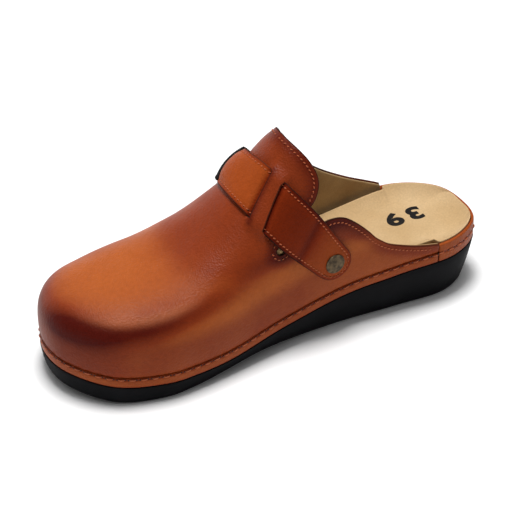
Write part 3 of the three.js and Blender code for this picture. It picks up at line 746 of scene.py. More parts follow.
def leather_sheet(name, surface, keep, outer, thickness, materials, bulge=0.45, tones=None):
    """A trimmed sheet with a thickness and a rounded edge. outer gives the height of its
    outer face over the surface. A second material is for its edge and back."""
    base, normals, faces = trimmed(surface, keep)
    lift = outer(base) if callable(outer) else np.full(len(base), float(outer))
    deep = thickness(base) if callable(thickness) else np.full(len(base), float(thickness))
    count = len(base)
    top = base + normals * lift[:, None]
    under = base + normals * (lift - deep)[:, None]
    open_edges = boundary(faces)
    outwards = np.zeros((count, 3))
    for a, b in open_edges:
        side = np.cross(top[b] - top[a], normals[a] + normals[b])
        outwards[a] += side
        outwards[b] += side
    outwards = unit(outwards)
    rim_ids = sorted({i for edge in open_edges for i in edge})
    rim_at = {old: new for new, old in enumerate(rim_ids)}
    rings = []
    for step in range(1, RIM_STEPS):
        angle = math.pi * step / RIM_STEPS
        ids = np.array(rim_ids, int)
        height = lift[ids] - deep[ids] * (1 - math.cos(angle)) / 2
        reach = bulge * deep[ids] * math.sin(angle)
        rings.append(base[ids] + normals[ids] * height[:, None] + outwards[ids] * reach[:, None])
    points = np.vstack([top, under, *rings])

    def rim_point(i, step):
        if step == 0:
            return i
        if step == RIM_STEPS:
            return count + i
        return 2 * count + (step - 1) * len(rim_ids) + rim_at[i]

    all_faces = list(faces)
    all_faces += [tuple(i + count for i in face[::-1]) for face in faces]
    for a, b in open_edges:
        for step in range(RIM_STEPS):
            all_faces.append((rim_point(b, step), rim_point(a, step),
                              rim_point(a, step + 1), rim_point(b, step + 1)))
    face_material = np.full(len(all_faces), len(materials) - 1)
    face_material[:len(faces)] = 0
    piece = new_object(name, points, all_faces, materials, face_material)
    if tones:
        where = np.vstack([base, base, *[base[rim_ids]] * (RIM_STEPS - 1)])
        for attribute, function in tones.items():
            add_attribute(piece, attribute, function(where))
    return piece


# ---- Materials ----

def srgb(*channels):
    """A display colour from 0 to 255, as the linear one that shaders use."""
    share = np.array(channels) / 255
    linear = np.where(share <= 0.04045, share / 12.92, ((share + 0.055) / 1.055) ** 2.4)
    return tuple(linear.tolist())


class Look:
    """A material that is put together from procedural textures."""

    def __init__(self, name, roughness=0.5, specular=0.5):
        self.material = bpy.data.materials.new(name)
        self.material.use_nodes = True
        self.nodes = self.material.node_tree.nodes
        self.links = self.material.node_tree.links
        self.shader = self.nodes["Principled BSDF"]
        self.put("Roughness", roughness)
        self.put("Specular IOR Level", specular)

    def feed(self, socket, value):
        """Gives a socket an output, a number or a colour."""
        if hasattr(value, "links"):
            self.links.new(value, socket)
        elif isinstance(value, (int, float)):
            socket.default_value = value
        else:
            socket.default_value = (*value, 1)

    def put(self, name, value):
        self.feed(self.shader.inputs[name], value)

    def texture(self, kind, scale):
        """A texture that is fixed to the piece."""
        texture = self.nodes.new(kind)
        texture.inputs["Scale"].default_value = scale
        place = self.nodes.new("ShaderNodeTexCoord").outputs["Object"]
        self.links.new(place, texture.inputs["Vector"])
        return texture

    def noise(self, scale, detail):
        texture = self.texture("ShaderNodeTexNoise", scale)
        texture.inputs["Detail"].default_value = detail
        return texture.outputs["Fac"]

    def attribute(self, name):
        node = self.nodes.new("ShaderNodeAttribute")
        node.attribute_name = name
        return node.outputs["Fac"]

    def maths(self, operation, *values):
        node = self.nodes.new("ShaderNodeMath")
        node.operation = operation
        for socket, value in zip(node.inputs, values):
            self.feed(socket, value)
        return node.outputs[0]

    def mix(self, factor, first, second, blend="MIX"):
        """Mixes two colours."""
        node = self.nodes.new("ShaderNodeMix")
        node.data_type = "RGBA"
        node.blend_type = blend
        node.clamp_factor = True
        for place, value in ((0, factor), (6, first), (7, second)):
            self.feed(node.inputs[place], value)
        return node.outputs[2]

    def spread(self, value, low, high, to_low=0.0, to_high=1.0):
        """Maps the range from low to high onto another one."""
        node = self.nodes.new("ShaderNodeMapRange")
        names = ("Value", "From Min", "From Max", "To Min", "To Max")
        for name, given in zip(names, (value, low, high, to_low, to_high)):
            self.feed(node.inputs[name], given)
        return node.outputs["Result"]

    def bumps(self, *heights):
        """Ends the material with bumps, each a (height output, strength, distance in metres)."""
        previous = None
        for height, strength, distance in heights:
            bump = self.nodes.new("ShaderNodeBump")
            bump.inputs["Strength"].default_value = strength
            bump.inputs["Distance"].default_value = distance
            self.links.new(height, bump.inputs["Height"])
            if previous:
                self.links.new(previous, bump.inputs["Normal"])
            previous = bump.outputs["Normal"]
        self.put("Normal", previous)
        return self.material


# The colour of the painted highlight along the toe cap's shoulder.
HIGHLIGHT_TAN = srgb(196, 118, 78)


def leather(name, light, middle, dark, roughness=0.4, specular=0.09):
    """Burnished leather. One attribute runs the tone from light through middle to dark, for
    burnishing and for painted shade; another mixes it to a pale tan as a painted highlight."""
    look = Look(name, roughness, specular)
    cloud = look.noise(38, 4)
    wobble = look.maths("MULTIPLY_ADD", cloud, 0.24, -0.12)
    ramp = look.nodes.new("ShaderNodeValToRGB")
    ramp.color_ramp.elements[0].color = (*light, 1)
    ramp.color_ramp.elements[1].color = (*dark, 1)
    ramp.color_ramp.elements.new(0.5).color = (*middle, 1)
    look.links.new(look.maths("ADD", look.attribute("burnish_and_shade"), wobble), ramp.inputs["Fac"])
    # Painted highlight: the tone mixes to a pale tan where the attribute is high.
    highlight_mix = look.mix(look.attribute("painted_highlight"), ramp.outputs["Color"], HIGHLIGHT_TAN)
    fleck = look.spread(look.noise(420, 3), 0.3, 0.7, 0.93, 1.06)
    look.put("Base Color", look.mix(1.0, highlight_mix, fleck, "MULTIPLY"))
    look.put("Roughness", look.spread(cloud, 0.3, 0.7, roughness - 0.05, roughness + 0.07))
    pebble = look.texture("ShaderNodeTexVoronoi", 950).outputs["Distance"]
    return look.bumps((look.noise(130, 5), 0.12, 0.0012), (pebble, 0.4, 0.0005),
                      (look.noise(2300, 2), 0.2, 0.0002))


def suede(name, light, dark, scale=1.0, sheen=0.25):
    look = Look(name, 0.95, 0.15)
    nap = look.noise(900 * scale, 4)
    clouded = look.mix(look.spread(look.noise(30 * scale, 5), 0.35, 0.68), light, dark)
    shade = look.spread(nap, 0.3, 0.7, 0.91, 1.05)
    look.put("Base Color", look.mix(1.0, clouded, shade, "MULTIPLY"))
    look.put("Sheen Weight", sheen)
    look.put("Sheen Roughness", 0.5)
    return look.bumps((nap, 0.35, 0.0005), (look.noise(3200 * scale, 2), 0.3, 0.0002))


def rubber(name, colour):
    look = Look(name, 0.6, 0.04)
    cloud = look.noise(60, 5)
    lighter = tuple(c * 1.7 + 0.002 for c in colour)
    look.put("Base Color", look.mix(look.spread(cloud, 0.4, 0.75), colour, lighter))
    look.put("Roughness", look.spread(cloud, 0.3, 0.7, 0.5, 0.68))
    return look.bumps((look.noise(1800, 3), 0.22, 0.00025))


def thread(name, colour):
    look = Look(name, 0.6, 0.35)
    twist = look.noise(2400, 2)
    dark = tuple(c * 0.55 for c in colour)
    look.put("Base Color", look.mix(look.spread(twist, 0.35, 0.65), dark, colour))
    return look.bumps((twist, 0.5, 0.0002))


def brass(name):
    look = Look(name)
    patina = look.noise(500, 5)
    patchy = look.spread(patina, 0.35, 0.65)
    look.put("Base Color", look.mix(patchy, srgb(96, 80, 58), srgb(62, 52, 40)))
    look.put("Roughness", look.spread(patina, 0.3, 0.7, 0.34, 0.55))
    look.put("Metallic", 0.85)
    return look.bumps((look.noise(2600, 3), 0.25, 0.0001))


def webbing(name):
    look = Look(name, 0.9, 0.08)
    wave = look.texture("ShaderNodeTexWave", 380)
    wave.bands_direction = "DIAGONAL"
    look.put("Base Color", look.mix(wave.outputs["Fac"], srgb(9, 8, 8), srgb(24, 22, 21)))
    return look.bumps((wave.outputs["Fac"], 0.6, 0.0003))


TAN = leather("tan_leather", srgb(176, 91, 38), srgb(132, 52, 21), srgb(78, 16, 7))
STRAP_TAN = leather("strap_leather", srgb(160, 74, 28), srgb(124, 42, 12), srgb(78, 17, 6), specular=0.05)
RAW_EDGE = leather("raw_edge", srgb(120, 60, 32), srgb(84, 36, 20), srgb(46, 18, 10), roughness=0.75)
PIGSKIN = suede("lining_skin", srgb(178, 148, 104), srgb(150, 118, 76), 1.4, 0.1)
SUEDE = suede("footbed_suede", srgb(202, 172, 130), srgb(188, 156, 112), sheen=0.06)
RUBBER = rubber("sole_rubber", srgb(14, 14, 16))
INK = suede("printed_ink", srgb(24, 22, 22), srgb(34, 31, 29), 1.0, 0.05)
YARN = thread("tan_yarn", srgb(196, 100, 56))
# Painted shade: the dark colour of the needle holes.
HOLE_SHADE = thread("needle_hole_shade", srgb(46, 18, 10))
BRASS = brass("antique_brass")
WEBBING = webbing("black_elastic")
CORK = suede("cork", srgb(150, 112, 70), srgb(96, 64, 36), 3.0, 0.0)
BOARD = suede("fibre_board", srgb(140, 132, 118), srgb(110, 100, 86), 2.0, 0.0)

# ---- Upper ----

def bridge_lift(points):
    """How far the bridge arches up over the strap."""
    _, across = strap_coordinates(points)
    near = smoothstep(outside_bridge(points), 5, 0)
    over_strap = smoothstep(np.abs(across + FRONT_SWELL / 2), STRAP_HALF + 8, STRAP_HALF - 1)
    return BRIDGE_LIFT * near * over_strap


STITCH_BORDER = 2.3


def upper_outer(points):
    """The height of the leather's face, with a groove along the stitching."""
    return bridge_lift(points) - 0.22 * bell(keep_throat(points), STITCH_BORDER, 0.8)


def shoulder(x):
    """The height where the toe cap's walls turn into its top."""
    widest = feather(x) + EQUATOR
    return widest + 0.8 * (ridge(x) - widest)


def upper_painted_highlight(points):
    """Where a painted highlight lightens the shoulder of the toe cap to a paler tan."""
    x, y, z = points.T
    line = bell(z, shoulder(x), 2.3)
    return 0.36 * line * smoothstep(x, 178, 210) * smoothstep(x, 262, 238) * smoothstep(y, -14, 6)


BAND_HEIGHT = 32.5
BAND_SPREAD = 6.8


def upper_burnish_and_shade(points):
    """0 is the light, polished tan and 1 the darkest brown. A dark burnished band goes round the
    toe and rises towards the heel; it is fainter on the inner side, where a painted sheen lightens
    it. The lower walls and the instep slope are half dark with painted shade, the edges are
    darker, and painted shade runs along the bridge's far edge where it lifts over the strap."""
    x, y, z = points.T
    height = z - feather(x)
    toe = smoothstep(x, 140, 235)
    band = bell(height, BAND_HEIGHT + 0.13 * (255 - x), BAND_SPREAD)
    # Fainter on the inner side: painted sheen.
    band = band * (0.3 + 0.7 * toe) * (0.45 + 0.55 * smoothstep(y, -12, 16))
    # Painted shade: the lower walls darker, less so towards the heel.
    low = 0.36 * smoothstep(height, 34, 22) * (0.6 + 0.4 * smoothstep(x, 100, 140))
    front = 0.2 * smoothstep(x, 232, 256) * smoothstep(height, 44, 34)
    # Painted shade on the instep slope.
    instep = 0.45 * smoothstep(x, 225, 175) * smoothstep(z, 55, 66)
    tongue = 0.05 * smoothstep(x, 140, 118) * smoothstep(z, 84, 98)
    edge = 0.3 * smoothstep(keep_throat(points), 10, 1.5)
    _, across = strap_coordinates(points)
    # Painted shade in the gap along the bridge's far edge.
    far_edge = ruler.measure(points) - bridge_middle(across) - bridge_half(across)
    bridge = smoothstep(np.abs(far_edge), 3, 0) * smoothstep(bridge_lift(points), 0.5, 2)
    tone = 0.06 + 0.95 * band + low + front + instep + tongue + edge + 0.35 * bridge
    return np.clip(tone, 0, 1)


# The tones hold burnishing with painted shade, and a painted highlight.
upper = leather_sheet(
    "upper_leather", whole, keep_upper, upper_outer, LEATHER, [TAN, RAW_EDGE],
    tones={"burnish_and_shade": upper_burnish_and_shade, "painted_highlight": upper_painted_highlight},
)
hand_in(upper, "tan_leather", "upper")


PUFF_START = 0.8 * LENGTH


def lining_depth(points):
    """The outer face of the lining, which drops inwards under the toe stiffener."""
    under_puff = smoothstep(points[:, 0], PUFF_START - 30, PUFF_START - 4)
    notch = capsule_distance(points[:, [0, 2]], NOTCH_END, NOTCH_MOUTH, NOTCH_RADIUS)
    in_notch = smoothstep(notch, -0.4, -1.6) * (points[:, 1] > 0)
    return -LEATHER - CLEARANCE - (PUFF + CLEARANCE) * under_puff + 1.3 * in_notch


lining = leather_sheet("lining_skin", whole, lambda p: opening_depth(p) - 0.35, lining_depth, LINING,
                       [PIGSKIN])
hand_in(lining, "lining", "upper_lining")

puff = leather_sheet("toe_stiffener", whole, lambda p: p[:, 0] - PUFF_START, -LEATHER - CLEARANCE, PUFF,
                     [BOARD])
hand_in(puff, "board", "toe_puff")

# ---- Strap ----

strap_surface = Surface(np.linspace(84, 172, int(110 * fine)), int(110 * fine))


STRAP_DIP = 1.7
FAR_ARCH = 3.4
CREASE_AT = 25
CREASE_SLANT = 0.25


def strap_dip(points):
    """How far the strap sinks where it goes under the bridge."""
    return STRAP_DIP * smoothstep(outside_bridge(points), 4.5, 0.5)


STRAP_STITCH = 1.8


def far_arch(points):
    """The strap's far end and the elastic stand up in the middle of their width."""
    _, across = strap_coordinates(points)
    bow = np.clip(1 - (across / STRAP_HALF) ** 2, 0, 1)
    return FAR_ARCH * bow * smoothstep(ruler.measure(points), 76, STRAP_LENGTH)


def strap_outer(points):
    _, across = strap_coordinates(points)
    groove = 0.25 * bell(strap_border(points), STRAP_STITCH, 0.7)
    crown_up = 0.35 * smoothstep(strap_border(points), 0, 6)
    length = ruler.measure(points)
    dent = 0.4 * bell(length - CREASE_SLANT * across, CREASE_AT, 2.6)
    return STRAP_TOP - 0.2 + crown_up - groove - dent - strap_dip(points) + far_arch(points)


# Darker towards the edges and round the middle of the lower length, lighter past the bridge and at the
# riveted end; painted shade in the crease and where the strap goes under the bridge.
def strap_tone_and_shade(points):
    length = ruler.measure(points)
    border = strap_border(points)
    edge = 0.35 * smoothstep(border, 2.2, 0)
    _, across = strap_coordinates(points)
    # Painted shade in the crease.
    crease = 0.3 * bell(length - CREASE_SLANT * across, CREASE_AT, 3)
    lower = 0.2 * bell(length, 42, 15) + crease
    # Painted shade where the strap goes under the bridge.
    under = 0.5 * smoothstep(outside_bridge(points), 3.5, 0.5)
    upper_part = -0.35 * smoothstep(length, 60, 64)
    tip = -0.28 * smoothstep(length, 27, 8)
    return np.clip(0.47 + edge + lower + under + upper_part + tip, 0, 1)


strap = leather_sheet("strap_leather", strap_surface, keep_strap, strap_outer, STRAP, [STRAP_TAN, RAW_EDGE],
                      bulge=0.4, tones={"burnish_and_shade": strap_tone_and_shade})
hand_in(strap, "strap_leather", "strap")

backing = leather_sheet("strap_lining", strap_surface, lambda p: keep_strap(p, 0.4, STRAP_LENGTH - 0.6),
                        lambda p: strap_outer(p) - STRAP - 0.1, BACKING, [PIGSKIN])
hand_in(backing, "lining", "strap_backing")


def elastic_outer(points):
    """The elastic bows out over the inner side before it is sewn down."""
    length = ruler.measure(points)
    bow = 1.2 * bell(length, STRAP_LENGTH + 7, 7)
    arch = far_arch(points) * smoothstep(length, STRAP_LENGTH + 22, STRAP_LENGTH + 6)
    return STRAP_TOP - 0.3 + bow + arch


elastic = leather_sheet("elastic_band", strap_surface, keep_elastic, elastic_outer, ELASTIC, [WEBBING])
hand_in(elastic, "elastic", "strap_elastic")

# ---- Stitches ----

def frames(points, normals):
    along = unit(np.gradient(points, axis=0))
    across = unit(np.cross(normals, along))
    return along, across, unit(np.cross(along, across))


def stitches(name, points, normals, nodes, pitch, length, radius, slope):
    """A row of separate stitches. Each one is a short bowed length of yarn whose ends go
    down into needle holes, and slope turns it across the row."""
    total = line_length(points)
    count = max(2, int(total / pitch))
    dense = evenly(np.column_stack([points, normals]), count)
    spots, ups = dense[:, :3], unit(dense[:, 3:])
    along, across, ups = frames(spots, ups)
    turned_way = unit(along + slope * across)
    turned_side = unit(np.cross(ups, turned_way))
    rings, sides = 7, 6
    all_points, all_faces, face_material = [], [], []
    for spot, way, side_way, up in zip(spots, turned_way, turned_side, ups):
        base = len(all_points)
        for i in range(rings):
            t = 2 * i / (rings - 1) - 1
            thick = radius * (1 - 0.35 * t**4)
            middle = spot + way * (t * length / 2) + up * (radius * 1.15 * (1 - 1.5 * t**4))
            for j in range(sides):
                angle = 2 * math.pi * j / sides
                all_points.append(middle + thick * (math.cos(angle) * side_way + math.sin(angle) * up))
        all_faces += tube_faces(rings, sides, base)
        face_material += [0] * (len(all_faces) - len(face_material))
        add_holes(all_points, all_faces, face_material, spot, way, side_way, up, length, radius)
    piece = new_object(name, np.array(all_points), all_faces, [YARN, HOLE_SHADE], face_material)
    return hand_in(piece, "yarn", *nodes)


def add_holes(points, faces, face_material, spot, way, side_way, up, length, radius):
    """The pressed-in needle holes at a stitch's two ends, as small shallow dishes in a dark colour that is
    painted shade for the holes' depth.
    """
    sides = 8
    for end in (-1, 1):
        centre = spot + way * end * (length / 2 + radius * 0.5)
        base = len(points)
        points.append(centre + up * 0.03)
        for j in range(sides):
            angle = 2 * math.pi * j / sides
            reach = radius * (1.5 * math.cos(angle) * way + 1.05 * math.sin(angle) * side_way)
            points.append(centre + reach + up * 0.05)
        for j in range(sides):
            points.append(points[base + 1 + j] - up * 0.12)
        bottom = len(points)
        points.append(centre - up * 0.09)
        for j in range(sides):
            k = (j + 1) % sides
            faces.append((base, base + 1 + j, base + 1 + k))
            faces.append((base + 1 + k, base + 1 + j, base + 1 + sides + j, base + 1 + sides + k))
            faces.append((bottom, base + 1 + sides + k, base + 1 + sides + j))
            face_material += [1, 1, 1]


FINE_STITCH = {"pitch": 2.5, "length": 1.65, "radius": 0.31}
RAND_STITCH = {"pitch": 6.2, "length": 3.9, "radius": 0.42}


def topline_stitching():
    """One row of stitches inside the topline and round the notch, in three lengths."""
    points, normals = contour(whole, keep_throat(whole.points) - STITCH_BORDER)
    if points[0, 1] < 0:
        points, normals = points[::-1], normals[::-1]
    for _ in range(4):
        points[1:-1] = (points[:-2] + 2 * points[1:-1] + points[2:]) / 4
    points = points + normals * upper_outer(points)[:, None]
    over_ridge = int(np.argmax(points[:, 1] < 0))
    notch_tip = int(np.argmax(points[:over_ridge, 0]))
    parts = (
        ("quarter_stitches_outer", 4, notch_tip, "quarter_yarn_outer"),
        ("tongue_stitches", notch_tip + 3, over_ridge, "tongue_yarn"),
        ("quarter_stitches_inner", over_ridge + 3, len(points) - 4, "quarter_yarn_inner"),
    )
    for name, first, last, node in parts:
        stitches(name, points[first:last], normals[first:last], [node], slope=0.35, **FINE_STITCH)


topline_stitching()


def strap_line(lengths_and_across):
    """Points of the surface at (length, across) places measured along the strap."""
    points, normals = [], []
    for length, across in lengths_and_across:
        row = np.interp(across, ruler.across, np.arange(len(ruler.across)))
        low = int(min(row, len(ruler.across) - 2))
        lengths = ruler.table[low] * (low + 1 - row) + ruler.table[low + 1] * (row - low)
        found = ruler.point(float(np.interp(length, lengths, ruler.angles)), across)
        if found is not None:
            points.append(found[0])
            normals.append(found[1])
    return np.array(points), np.array(normals)


def strap_stitching():
    """The strap's stitching: round the riveted end, and along both edges past the bridge."""
    tip = STRAP_TIP - STRAP_STITCH
    far = STRAP_LENGTH - 2

    def edge(lengths, side):
        return [(s, side * (float(strap_half(s, side)) - STRAP_STITCH)) for s in lengths]

    def row(name, places, nodes):
        points, normals = strap_line(places)
        points = points + normals * strap_outer(points)[:, None]
        stitches(name, points, normals, nodes, slope=0.3, **FINE_STITCH)

    round_tip = [(tip * math.cos(a), tip * math.sin(a)) for a in np.linspace(-0.5, -1.5, 14)[1:-1] * math.pi]
    front, rear = -STRAP_HALF, STRAP_HALF
    before = {w: bridge_middle(w) - bridge_half(w) - 1.5 for w in (front, rear)}
    past = {w: bridge_middle(w) + bridge_half(w) + 1.5 for w in (front, rear)}
    row("strap_stitches", edge(np.linspace(before[front], 0, 40), -1) + round_tip
        + edge(np.linspace(0, before[rear], 40), 1), ["strap_yarn"])
    row("strap_stitches_front", edge(np.linspace(past[front], far, 30), -1), [])
    row("strap_stitches_back", edge(np.linspace(past[rear], far, 24), 1), [])


strap_stitching()

# ---- Rivet ----

def lathe(name, profile, materials, steps=64):
    """A turned piece on the rivet's line; heights are over the strap."""
    seat, out = from_side(RIVET_PLACE, 1)
    seat = seat + out * (STRAP_TOP + 0.12)
    first = unit(np.cross(out, [0, 0, 1.0]))
    second = np.cross(out, first)
    points = []
    for radius, height in profile:
        for k in range(steps):
            angle = 2 * math.pi * k / steps
            points.append(seat + radius * (math.cos(angle) * first + math.sin(angle) * second) + height * out)
    faces = [face[::-1] for face in tube_faces(len(profile), steps)]
    return new_object(name, np.array(points), faces, materials)


# The post, the rounded edge, a fine groove inside it and the low dome.
cap_profile = [(1.6, -3.4), (1.6, 0), (RIVET_RADIUS - 0.3, 0)]
cap_profile += [(RIVET_RADIUS - 0.3 + 0.35 * math.sin(a), 0.35 - 0.35 * math.cos(a))
                for a in np.linspace(0.4, math.pi - 0.5, 7)]
cap_profile += [(RIVET_RADIUS - 0.9, 0.5), (RIVET_RADIUS - 1.3, 0.52)]
cap_profile += [(r, 0.52 + 0.34 * (1 - (r / 4.7) ** 2)) for r in np.linspace(4.4, 0.05, 9)]
hand_in(lathe("rivet_head", cap_profile, [BRASS]), "antique_brass", "rivet_cap")

# ---- Sole and footbed ----

def widths(inset, x):
    """The inset outline's outer and inner sides at places along the sole, and its ends."""
    lines = []
    for side in (1, -1):
        point, inwards = edge_points(TRACE_TURNS[side])
        lines.append(point + inwards * inset(point[:, 0])[:, None])
    start, end = lines[0][0, 0], lines[0][-1, 0]
    ways = []
    for line in lines:
        y = np.interp(x, np.maximum.accumulate(line[:, 0]), line[:, 1])
        y[x <= start] = line[0, 1]
        y[x >= end] = line[-1, 1]
        ways.append(y)
    return start, end, *ways


def stations(inset, rows):
    start, end, _, _ = widths(inset, np.zeros(1))
    return start + (end - start) * (1 - np.cos(np.linspace(0, math.pi, rows))) / 2


def plate(name, rings, bottom, top, rows, columns, material):
    """A plate that follows the sole. rings are (inset, height) functions for its wall, from
    the top face's edge to the bottom face's; top and bottom give the faces' heights."""
    levels = []
    for inset, height in rings:
        x = stations(inset, rows)
        _, _, outer, inner = widths(inset, x)
        levels.append((x, outer, inner, height))
    points, faces = [], []
    across = (1 - np.cos(np.linspace(0, math.pi, columns + 1))) / 2

    def face_grid(level, height, flip):
        x, outer, inner, _ = level
        y = inner[:, None] + (outer - inner)[:, None] * across
        xs = np.repeat(x[:, None], columns + 1, 1)
        from_side_edge = np.minimum(outer[:, None] - y, y - inner[:, None])
        from_end = np.minimum(xs - x[0], x[-1] - xs)
        z = height(xs, y, np.minimum(from_side_edge, from_end))
        base = len(points)
        points.extend(np.stack([xs, y, z], -1).reshape(-1, 3).tolist())
        at = base + np.arange(rows * (columns + 1)).reshape(rows, columns + 1)
        for i in range(rows - 1):
            for j in range(columns):
                face = (at[i, j], at[i + 1, j], at[i + 1, j + 1], at[i, j + 1])
                faces.append(face[::-1] if flip else face)
        return at

    top_at = face_grid(levels[0], top, False)
    bottom_at = face_grid(levels[-1], bottom, True)
    edges = [(top_at[:, -1], top_at[:, 0])]
    for x, outer, inner, height in levels[1:-1]:
        base = len(points)
        points.extend(np.column_stack([x, outer, height(x)]).tolist())
        points.extend(np.column_stack([x, inner, height(x)]).tolist())
        edges.append((base + np.arange(rows), base + rows + np.arange(rows)))
    edges.append((bottom_at[:, -1], bottom_at[:, 0]))
    for (high_outer, high_inner), (low_outer, low_inner) in zip(edges[:-1], edges[1:]):
        for i in range(rows - 1):
            faces.append((high_outer[i], high_outer[i + 1], low_outer[i + 1], low_outer[i]))
            faces.append((high_inner[i + 1], high_inner[i], low_inner[i], low_inner[i + 1]))
    faces = [tuple(int(i) for i in face) for face in faces]
    return bmesh_cleaned(new_object(name, np.array(points), faces, [material]))


def bmesh_cleaned(piece):
    """Joins points that coincide and drops faces that closed up."""
    work = bmesh.new()
    work.from_mesh(piece.data)
    bmesh.ops.remove_doubles(work, verts=work.verts, dist=2e-6)
    bmesh.ops.dissolve_degenerate(work, edges=work.edges, dist=1e-7)
    bmesh.ops.recalc_face_normals(work, faces=work.faces)
    work.to_mesh(piece.data)
    work.free()
    return piece


BAR_PITCH = 9
BAR_DEPTH = 1.3


def tread_height(x, y, from_edge):
    """The tread: two fields of wavy bars with a plain waist between them."""
    wave = np.sin((x + 3 * np.sin(y / 7)) * 2 * math.pi / BAR_PITCH)
    bars = smoothstep(wave, -0.2, 0.25)
    field = smoothstep(from_edge, 5, 7) * (1 - bell(x, 0.46 * LENGTH, 32))
    return tread(x) + BAR_DEPTH * field * (1 - bars)


def make_outsole():
    """The sole's wall leans in towards the ground, more at the heel than at the toe."""
    def ring(share, height, extra=0.0):
        def inset(x):
            taper = WALL_TAPER + (TOE_TAPER - WALL_TAPER) * smoothstep(x, 0.55 * LENGTH, 0.86 * LENGTH)
            return share * taper + extra
        return inset, height

    rings = [ring(0, feather, 0.5), ring(0, lambda x: feather(x) - 0.15, 0.1),
             ring(0, lambda x: feather(x) - 0.6)]
    for t in (0.2, 0.4, 0.6, 0.8):
        lean = t * (0.6 + 0.4 * t)
        rings.append(ring(lean, lambda x, t=t: feather(x) + (tread(x) + 1.8 - feather(x)) * t))
    rings += [ring(1, lambda x: tread(x) + 1.8), ring(1, lambda x: tread(x) + 0.6, 0.5), ring(1, tread, 1.7)]
    return plate("sole_unit", rings, tread_height, lambda x, y, e: feather(x),
                 int(230 * fine), int(60 * fine), RUBBER)


hand_in(make_outsole(), "black_rubber", "outsole")


def bed_inset(extra=0.0):
    behind = RAND + 1.5 * CLEARANCE

    def inset(x):
        return behind + (FOOT_INSET - 0.4 - behind) * smoothstep(x, HEEL_SEAM - 1.8, HEEL_SEAM) + extra
    return inset


def bed_surface(x, y, from_edge):
    cup = 1 - smoothstep(x, 0.12 * LENGTH, 0.5 * LENGTH)
    slope = np.maximum(0, 1 - from_edge / CUP_RIM) ** 2
    pad = 0.8 * bell(np.hypot(x - 0.52 * LENGTH, 1.2 * (y + 4)), 0, 26)
    arch = 2.2 * bell(x, 0.4 * LENGTH, 34) * smoothstep(y, 6, -26)
    return feather(x) + BED_RISE + CUP_RISE * cup * slope + pad + arch


BED_ROUNDING = 1.3


def bed_top(x, y, from_edge):
    short = 1 - np.clip(from_edge / BED_ROUNDING, 0, 1)
    rounding = BED_ROUNDING * (1 - np.sqrt(np.clip(1 - short ** 2, 0, 1)))
    return bed_surface(x, y, from_edge) - rounding


def rim_height(x):
    return feather(x) + BED_RISE + CUP_RISE * (1 - smoothstep(x, 0.12 * LENGTH, 0.5 * LENGTH))


def make_footbed():
    rings = [(bed_inset(), lambda x: rim_height(x) - BED_ROUNDING),
             (bed_inset(), lambda x: rim_height(x) - 2.2),
             (bed_inset(0.3), lambda x: rim_height(x) - 2.6)]
    cover = plate("footbed_suede", rings, lambda x, y, e: bed_top(x, y, e) - COVER - 1.2, bed_top,
                  int(220 * fine), int(90 * fine), SUEDE)
    return hand_in(cover, "suede", "footbed_cover")


make_footbed()


def size_mark():
    """A plain size number printed on the heel of the footbed."""
    text = bpy.data.curves.new("size_text", "FONT")
    text.body = "39"
    text.size = 0.0165
    text.space_character = 1.35
    text.offset = 0.0007
    text.align_x = "CENTER"
    text.align_y = "CENTER"
    source = add_object("size_text", text)
    bpy.context.view_layer.update()
    evaluated = source.evaluated_get(bpy.context.evaluated_depsgraph_get())
    flat = bpy.data.meshes.new_from_object(evaluated)
    work = bmesh.new()
    work.from_mesh(flat)
    bmesh.ops.triangulate(work, faces=work.faces)
    bmesh.ops.subdivide_edges(work, edges=work.edges, cuts=2)
    points = np.array([v.co[:] for v in work.verts]) / MM
    faces = [tuple(v.index for v in f.verts) for f in work.faces]
    work.free()
    bpy.data.objects.remove(source)
    # The number reads from the heel to the toe.
    x = 36 + 1.25 * points[:, 0]
    y = -5 + points[:, 1]
    top = bed_surface(x, y, np.full(len(x), 20.0)) + 0.12
    count = len(x)
    upper_points = np.column_stack([x, y, top])
    lower_points = upper_points - [0, 0, 0.3]
    all_faces = faces + [tuple(i + count for i in face[::-1]) for face in faces]
    for a, b in boundary(faces):
        all_faces.append((b, a, a + count, b + count))
    points = np.vstack([upper_points, lower_points])
    piece = new_object("size_number", points, all_faces, [INK], smooth=False)
    return hand_in(piece, "black_rubber")


size_mark()

# ---- Rand ----

OUTER_TURN = float(turn_at(HEEL_SEAM, 1))
INNER_TURN = float(turn_at(HEEL_SEAM, -1))
TOE_SEAM = float(turn_at(0.97 * LENGTH, -1))
SEAM_GAP = 0.0007


def rand_strip(name, start, stop, height, nodes, steps, groove_at):
    """A strip of leather round the sole, with rounded edges and a stitched groove."""
    turns = np.linspace(start + SEAM_GAP, stop - SEAM_GAP, steps)
    heights = np.concatenate([np.linspace(0.1, 0.9, 4), np.linspace(1.4, height - 1.2, int(height * 2)),
                              np.linspace(height - 0.9, height, 5)])
    profile = []
    for z in heights:
        low_round = 0.35 * max(0, 1 - z / 0.8) ** 2
        high_round = 0.6 * max(0, 1 - (height - z) / 0.7) ** 2
        groove = 0.35 * float(bell(z, groove_at, 0.6))
        belly = 0.25 * math.sin(math.pi * z / height)
        profile.append((0.25 - belly + low_round + high_round + groove, z))
    profile += [(RAND, height - 0.05), (RAND, 0.1)]
    point, inwards = edge_points(turns)
    base = feather(point[:, 0])
    rings = [np.column_stack([point + inwards * inset, base + z]) for inset, z in profile]
    points = np.stack(rings, 1).reshape(-1, 3)
    corners = len(profile)
    piece = new_object(name, points, tube_faces(steps, corners), [TAN])
    z = points[:, 2] - np.repeat(base, corners)
    # Darker towards the bottom edge, with painted shade in the stitched groove.
    tone = 0.3 + 0.4 * smoothstep(z, 1.2, 0) + 0.3 * bell(z, groove_at, 0.8)
    add_attribute(piece, "burnish_and_shade", np.clip(tone, 0, 1))
    bmesh_cleaned(piece)
    return hand_in(piece, "tan_leather", *nodes)


